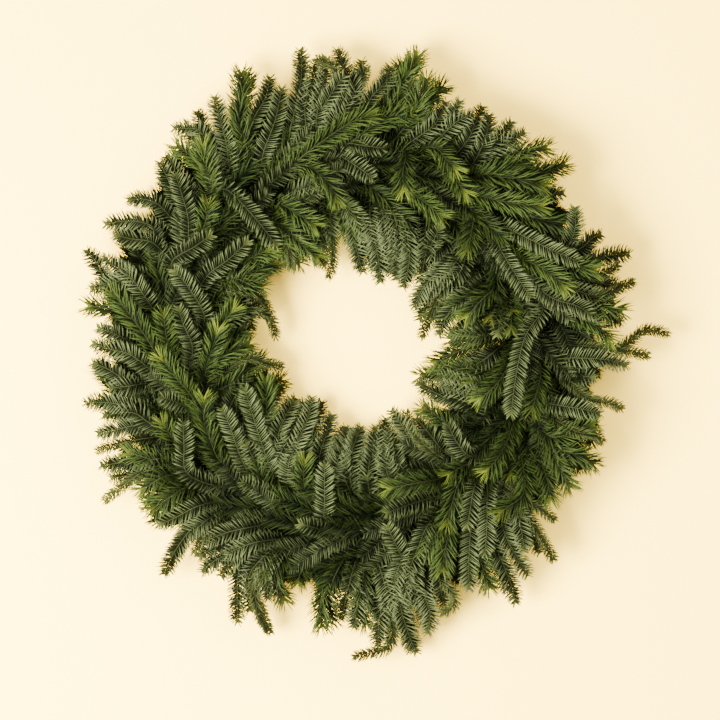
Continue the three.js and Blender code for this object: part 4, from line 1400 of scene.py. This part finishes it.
def make_light(name, settings):
    """A soft square light that faces the wreath."""
    place = LIGHTS[name]["place"]
    light = bpy.data.lights.new(name, "AREA")
    light.size = LIGHTS[name]["size"]
    light.energy = getattr(settings, f"{name}_power")
    light.color = settings.light
    obj = bpy.data.objects.new(name, light)
    facing = (LIT_POINT - place).to_track_quat("-Z", "Y")
    obj.matrix_world = Matrix.Translation(place) @ facing.to_matrix().to_4x4()
    bpy.context.scene.collection.objects.link(obj)


def make_floor(settings):
    """A plain pale floor, wide enough for every view, just under the wires."""
    half = FLOOR_SIZE / 2
    mesh = bpy.data.meshes.new("floor")
    corners = [(x, y, -FLOOR_GAP) for x, y in ((-half, -half), (half, -half), (half, half), (-half, half))]
    mesh.from_pydata(corners, [], [(0, 1, 2, 3)])
    floor = bpy.data.objects.new("floor", mesh)
    bpy.context.scene.collection.objects.link(floor)
    paper = Tree("floor paper", {"Base Color": settings.floor, **FLOOR_FINISH})
    mesh.materials.append(paper.material)
    floor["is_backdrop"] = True


def make_camera(settings):
    """A camera straight above, far enough away for a nearly parallel view."""
    camera = bpy.data.cameras.new("camera")
    camera.sensor_width = SENSOR_WIDTH
    camera.lens = SENSOR_WIDTH * settings.camera_height / settings.frame_width
    camera.clip_end = FARTHEST_SEEN
    obj = bpy.data.objects.new("camera", camera)
    x, y, _ = (ring_centre() + CAMERA_SHIFT) * MM
    obj.location = (x, y, settings.camera_height)
    bpy.context.scene.collection.objects.link(obj)
    bpy.context.scene.camera = obj


def make_world(settings):
    """An even surrounding light."""
    world = bpy.data.worlds.new("studio")
    world.use_nodes = True
    background = world.node_tree.nodes["Background"]
    background.inputs["Color"].default_value = (*settings.light, 1.0)
    background.inputs["Strength"].default_value = WORLD_STRENGTH
    bpy.context.scene.world = world


class WREATH_OT_stage(bpy.types.Operator):
    """Make the floor, the studio light and the camera"""

    bl_idname = "wreath.stage"
    bl_label = "Stage"
    bl_options = {"REGISTER", "UNDO"}

    def execute(self, context):
        settings = context.scene.wreath_stage
        make_floor(settings)
        make_world(settings)
        for name in LIGHTS:
            make_light(name, settings)
        make_camera(settings)
        return {"FINISHED"}


class WREATH_PT_panel(bpy.types.Panel):
    """The wreath's settings and steps"""

    bl_label = "Wreath"
    bl_idname = "WREATH_PT_panel"
    bl_space_type = "VIEW_3D"
    bl_region_type = "UI"
    bl_category = "Wreath"

    def draw(self, context):
        layout = self.layout
        for name in SETTINGS:
            group = getattr(context.scene, name)
            for key in group.__annotations__:
                layout.prop(group, key)
        for step in STEPS:
            layout.operator(step.bl_idname)


STEPS = [
    WREATH_OT_ring,
    WREATH_OT_binding,
    WREATH_OT_outer_sprays,
    WREATH_OT_top_sprays,
    WREATH_OT_inner_sprays,
    WREATH_OT_stage,
]
SETTINGS = {
    "wreath_foliage": FoliageSettings,
    "wreath_wires": WireSettings,
    "wreath_stage": StageSettings,
}
CLASSES = [*SETTINGS.values(), *STEPS, WREATH_PT_panel]


def register():
    """Registers the add-on's classes and the scene's settings."""
    for cls in CLASSES:
        bpy.utils.register_class(cls)
    for name, group in SETTINGS.items():
        setattr(bpy.types.Scene, name, bpy.props.PointerProperty(type=group))


def unregister():
    """Takes the add-on's classes and settings away again."""
    for name in SETTINGS:
        delattr(bpy.types.Scene, name)
    for cls in reversed(CLASSES):
        bpy.utils.unregister_class(cls)


def measure_box():
    """The lowest and highest corner of what is shown, as plain lists."""
    bpy.context.view_layer.update()
    return [list(corner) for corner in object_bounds()]


def main():
    """Runs every step, and measures the boxes of the solids and of the finished model."""
    register()
    solid_box = measure_box()
    for step in STEPS:
        group, name = step.bl_idname.split(".")
        getattr(getattr(bpy.ops, group), name)()
    {"solid": solid_box, "visual": measure_box()}


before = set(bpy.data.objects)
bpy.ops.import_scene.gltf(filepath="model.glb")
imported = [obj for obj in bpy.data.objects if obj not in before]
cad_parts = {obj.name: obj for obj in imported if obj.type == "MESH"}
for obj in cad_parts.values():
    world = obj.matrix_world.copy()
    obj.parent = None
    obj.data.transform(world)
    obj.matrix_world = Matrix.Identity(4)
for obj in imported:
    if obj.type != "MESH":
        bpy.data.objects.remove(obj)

if __name__ == "__main__":
    main()
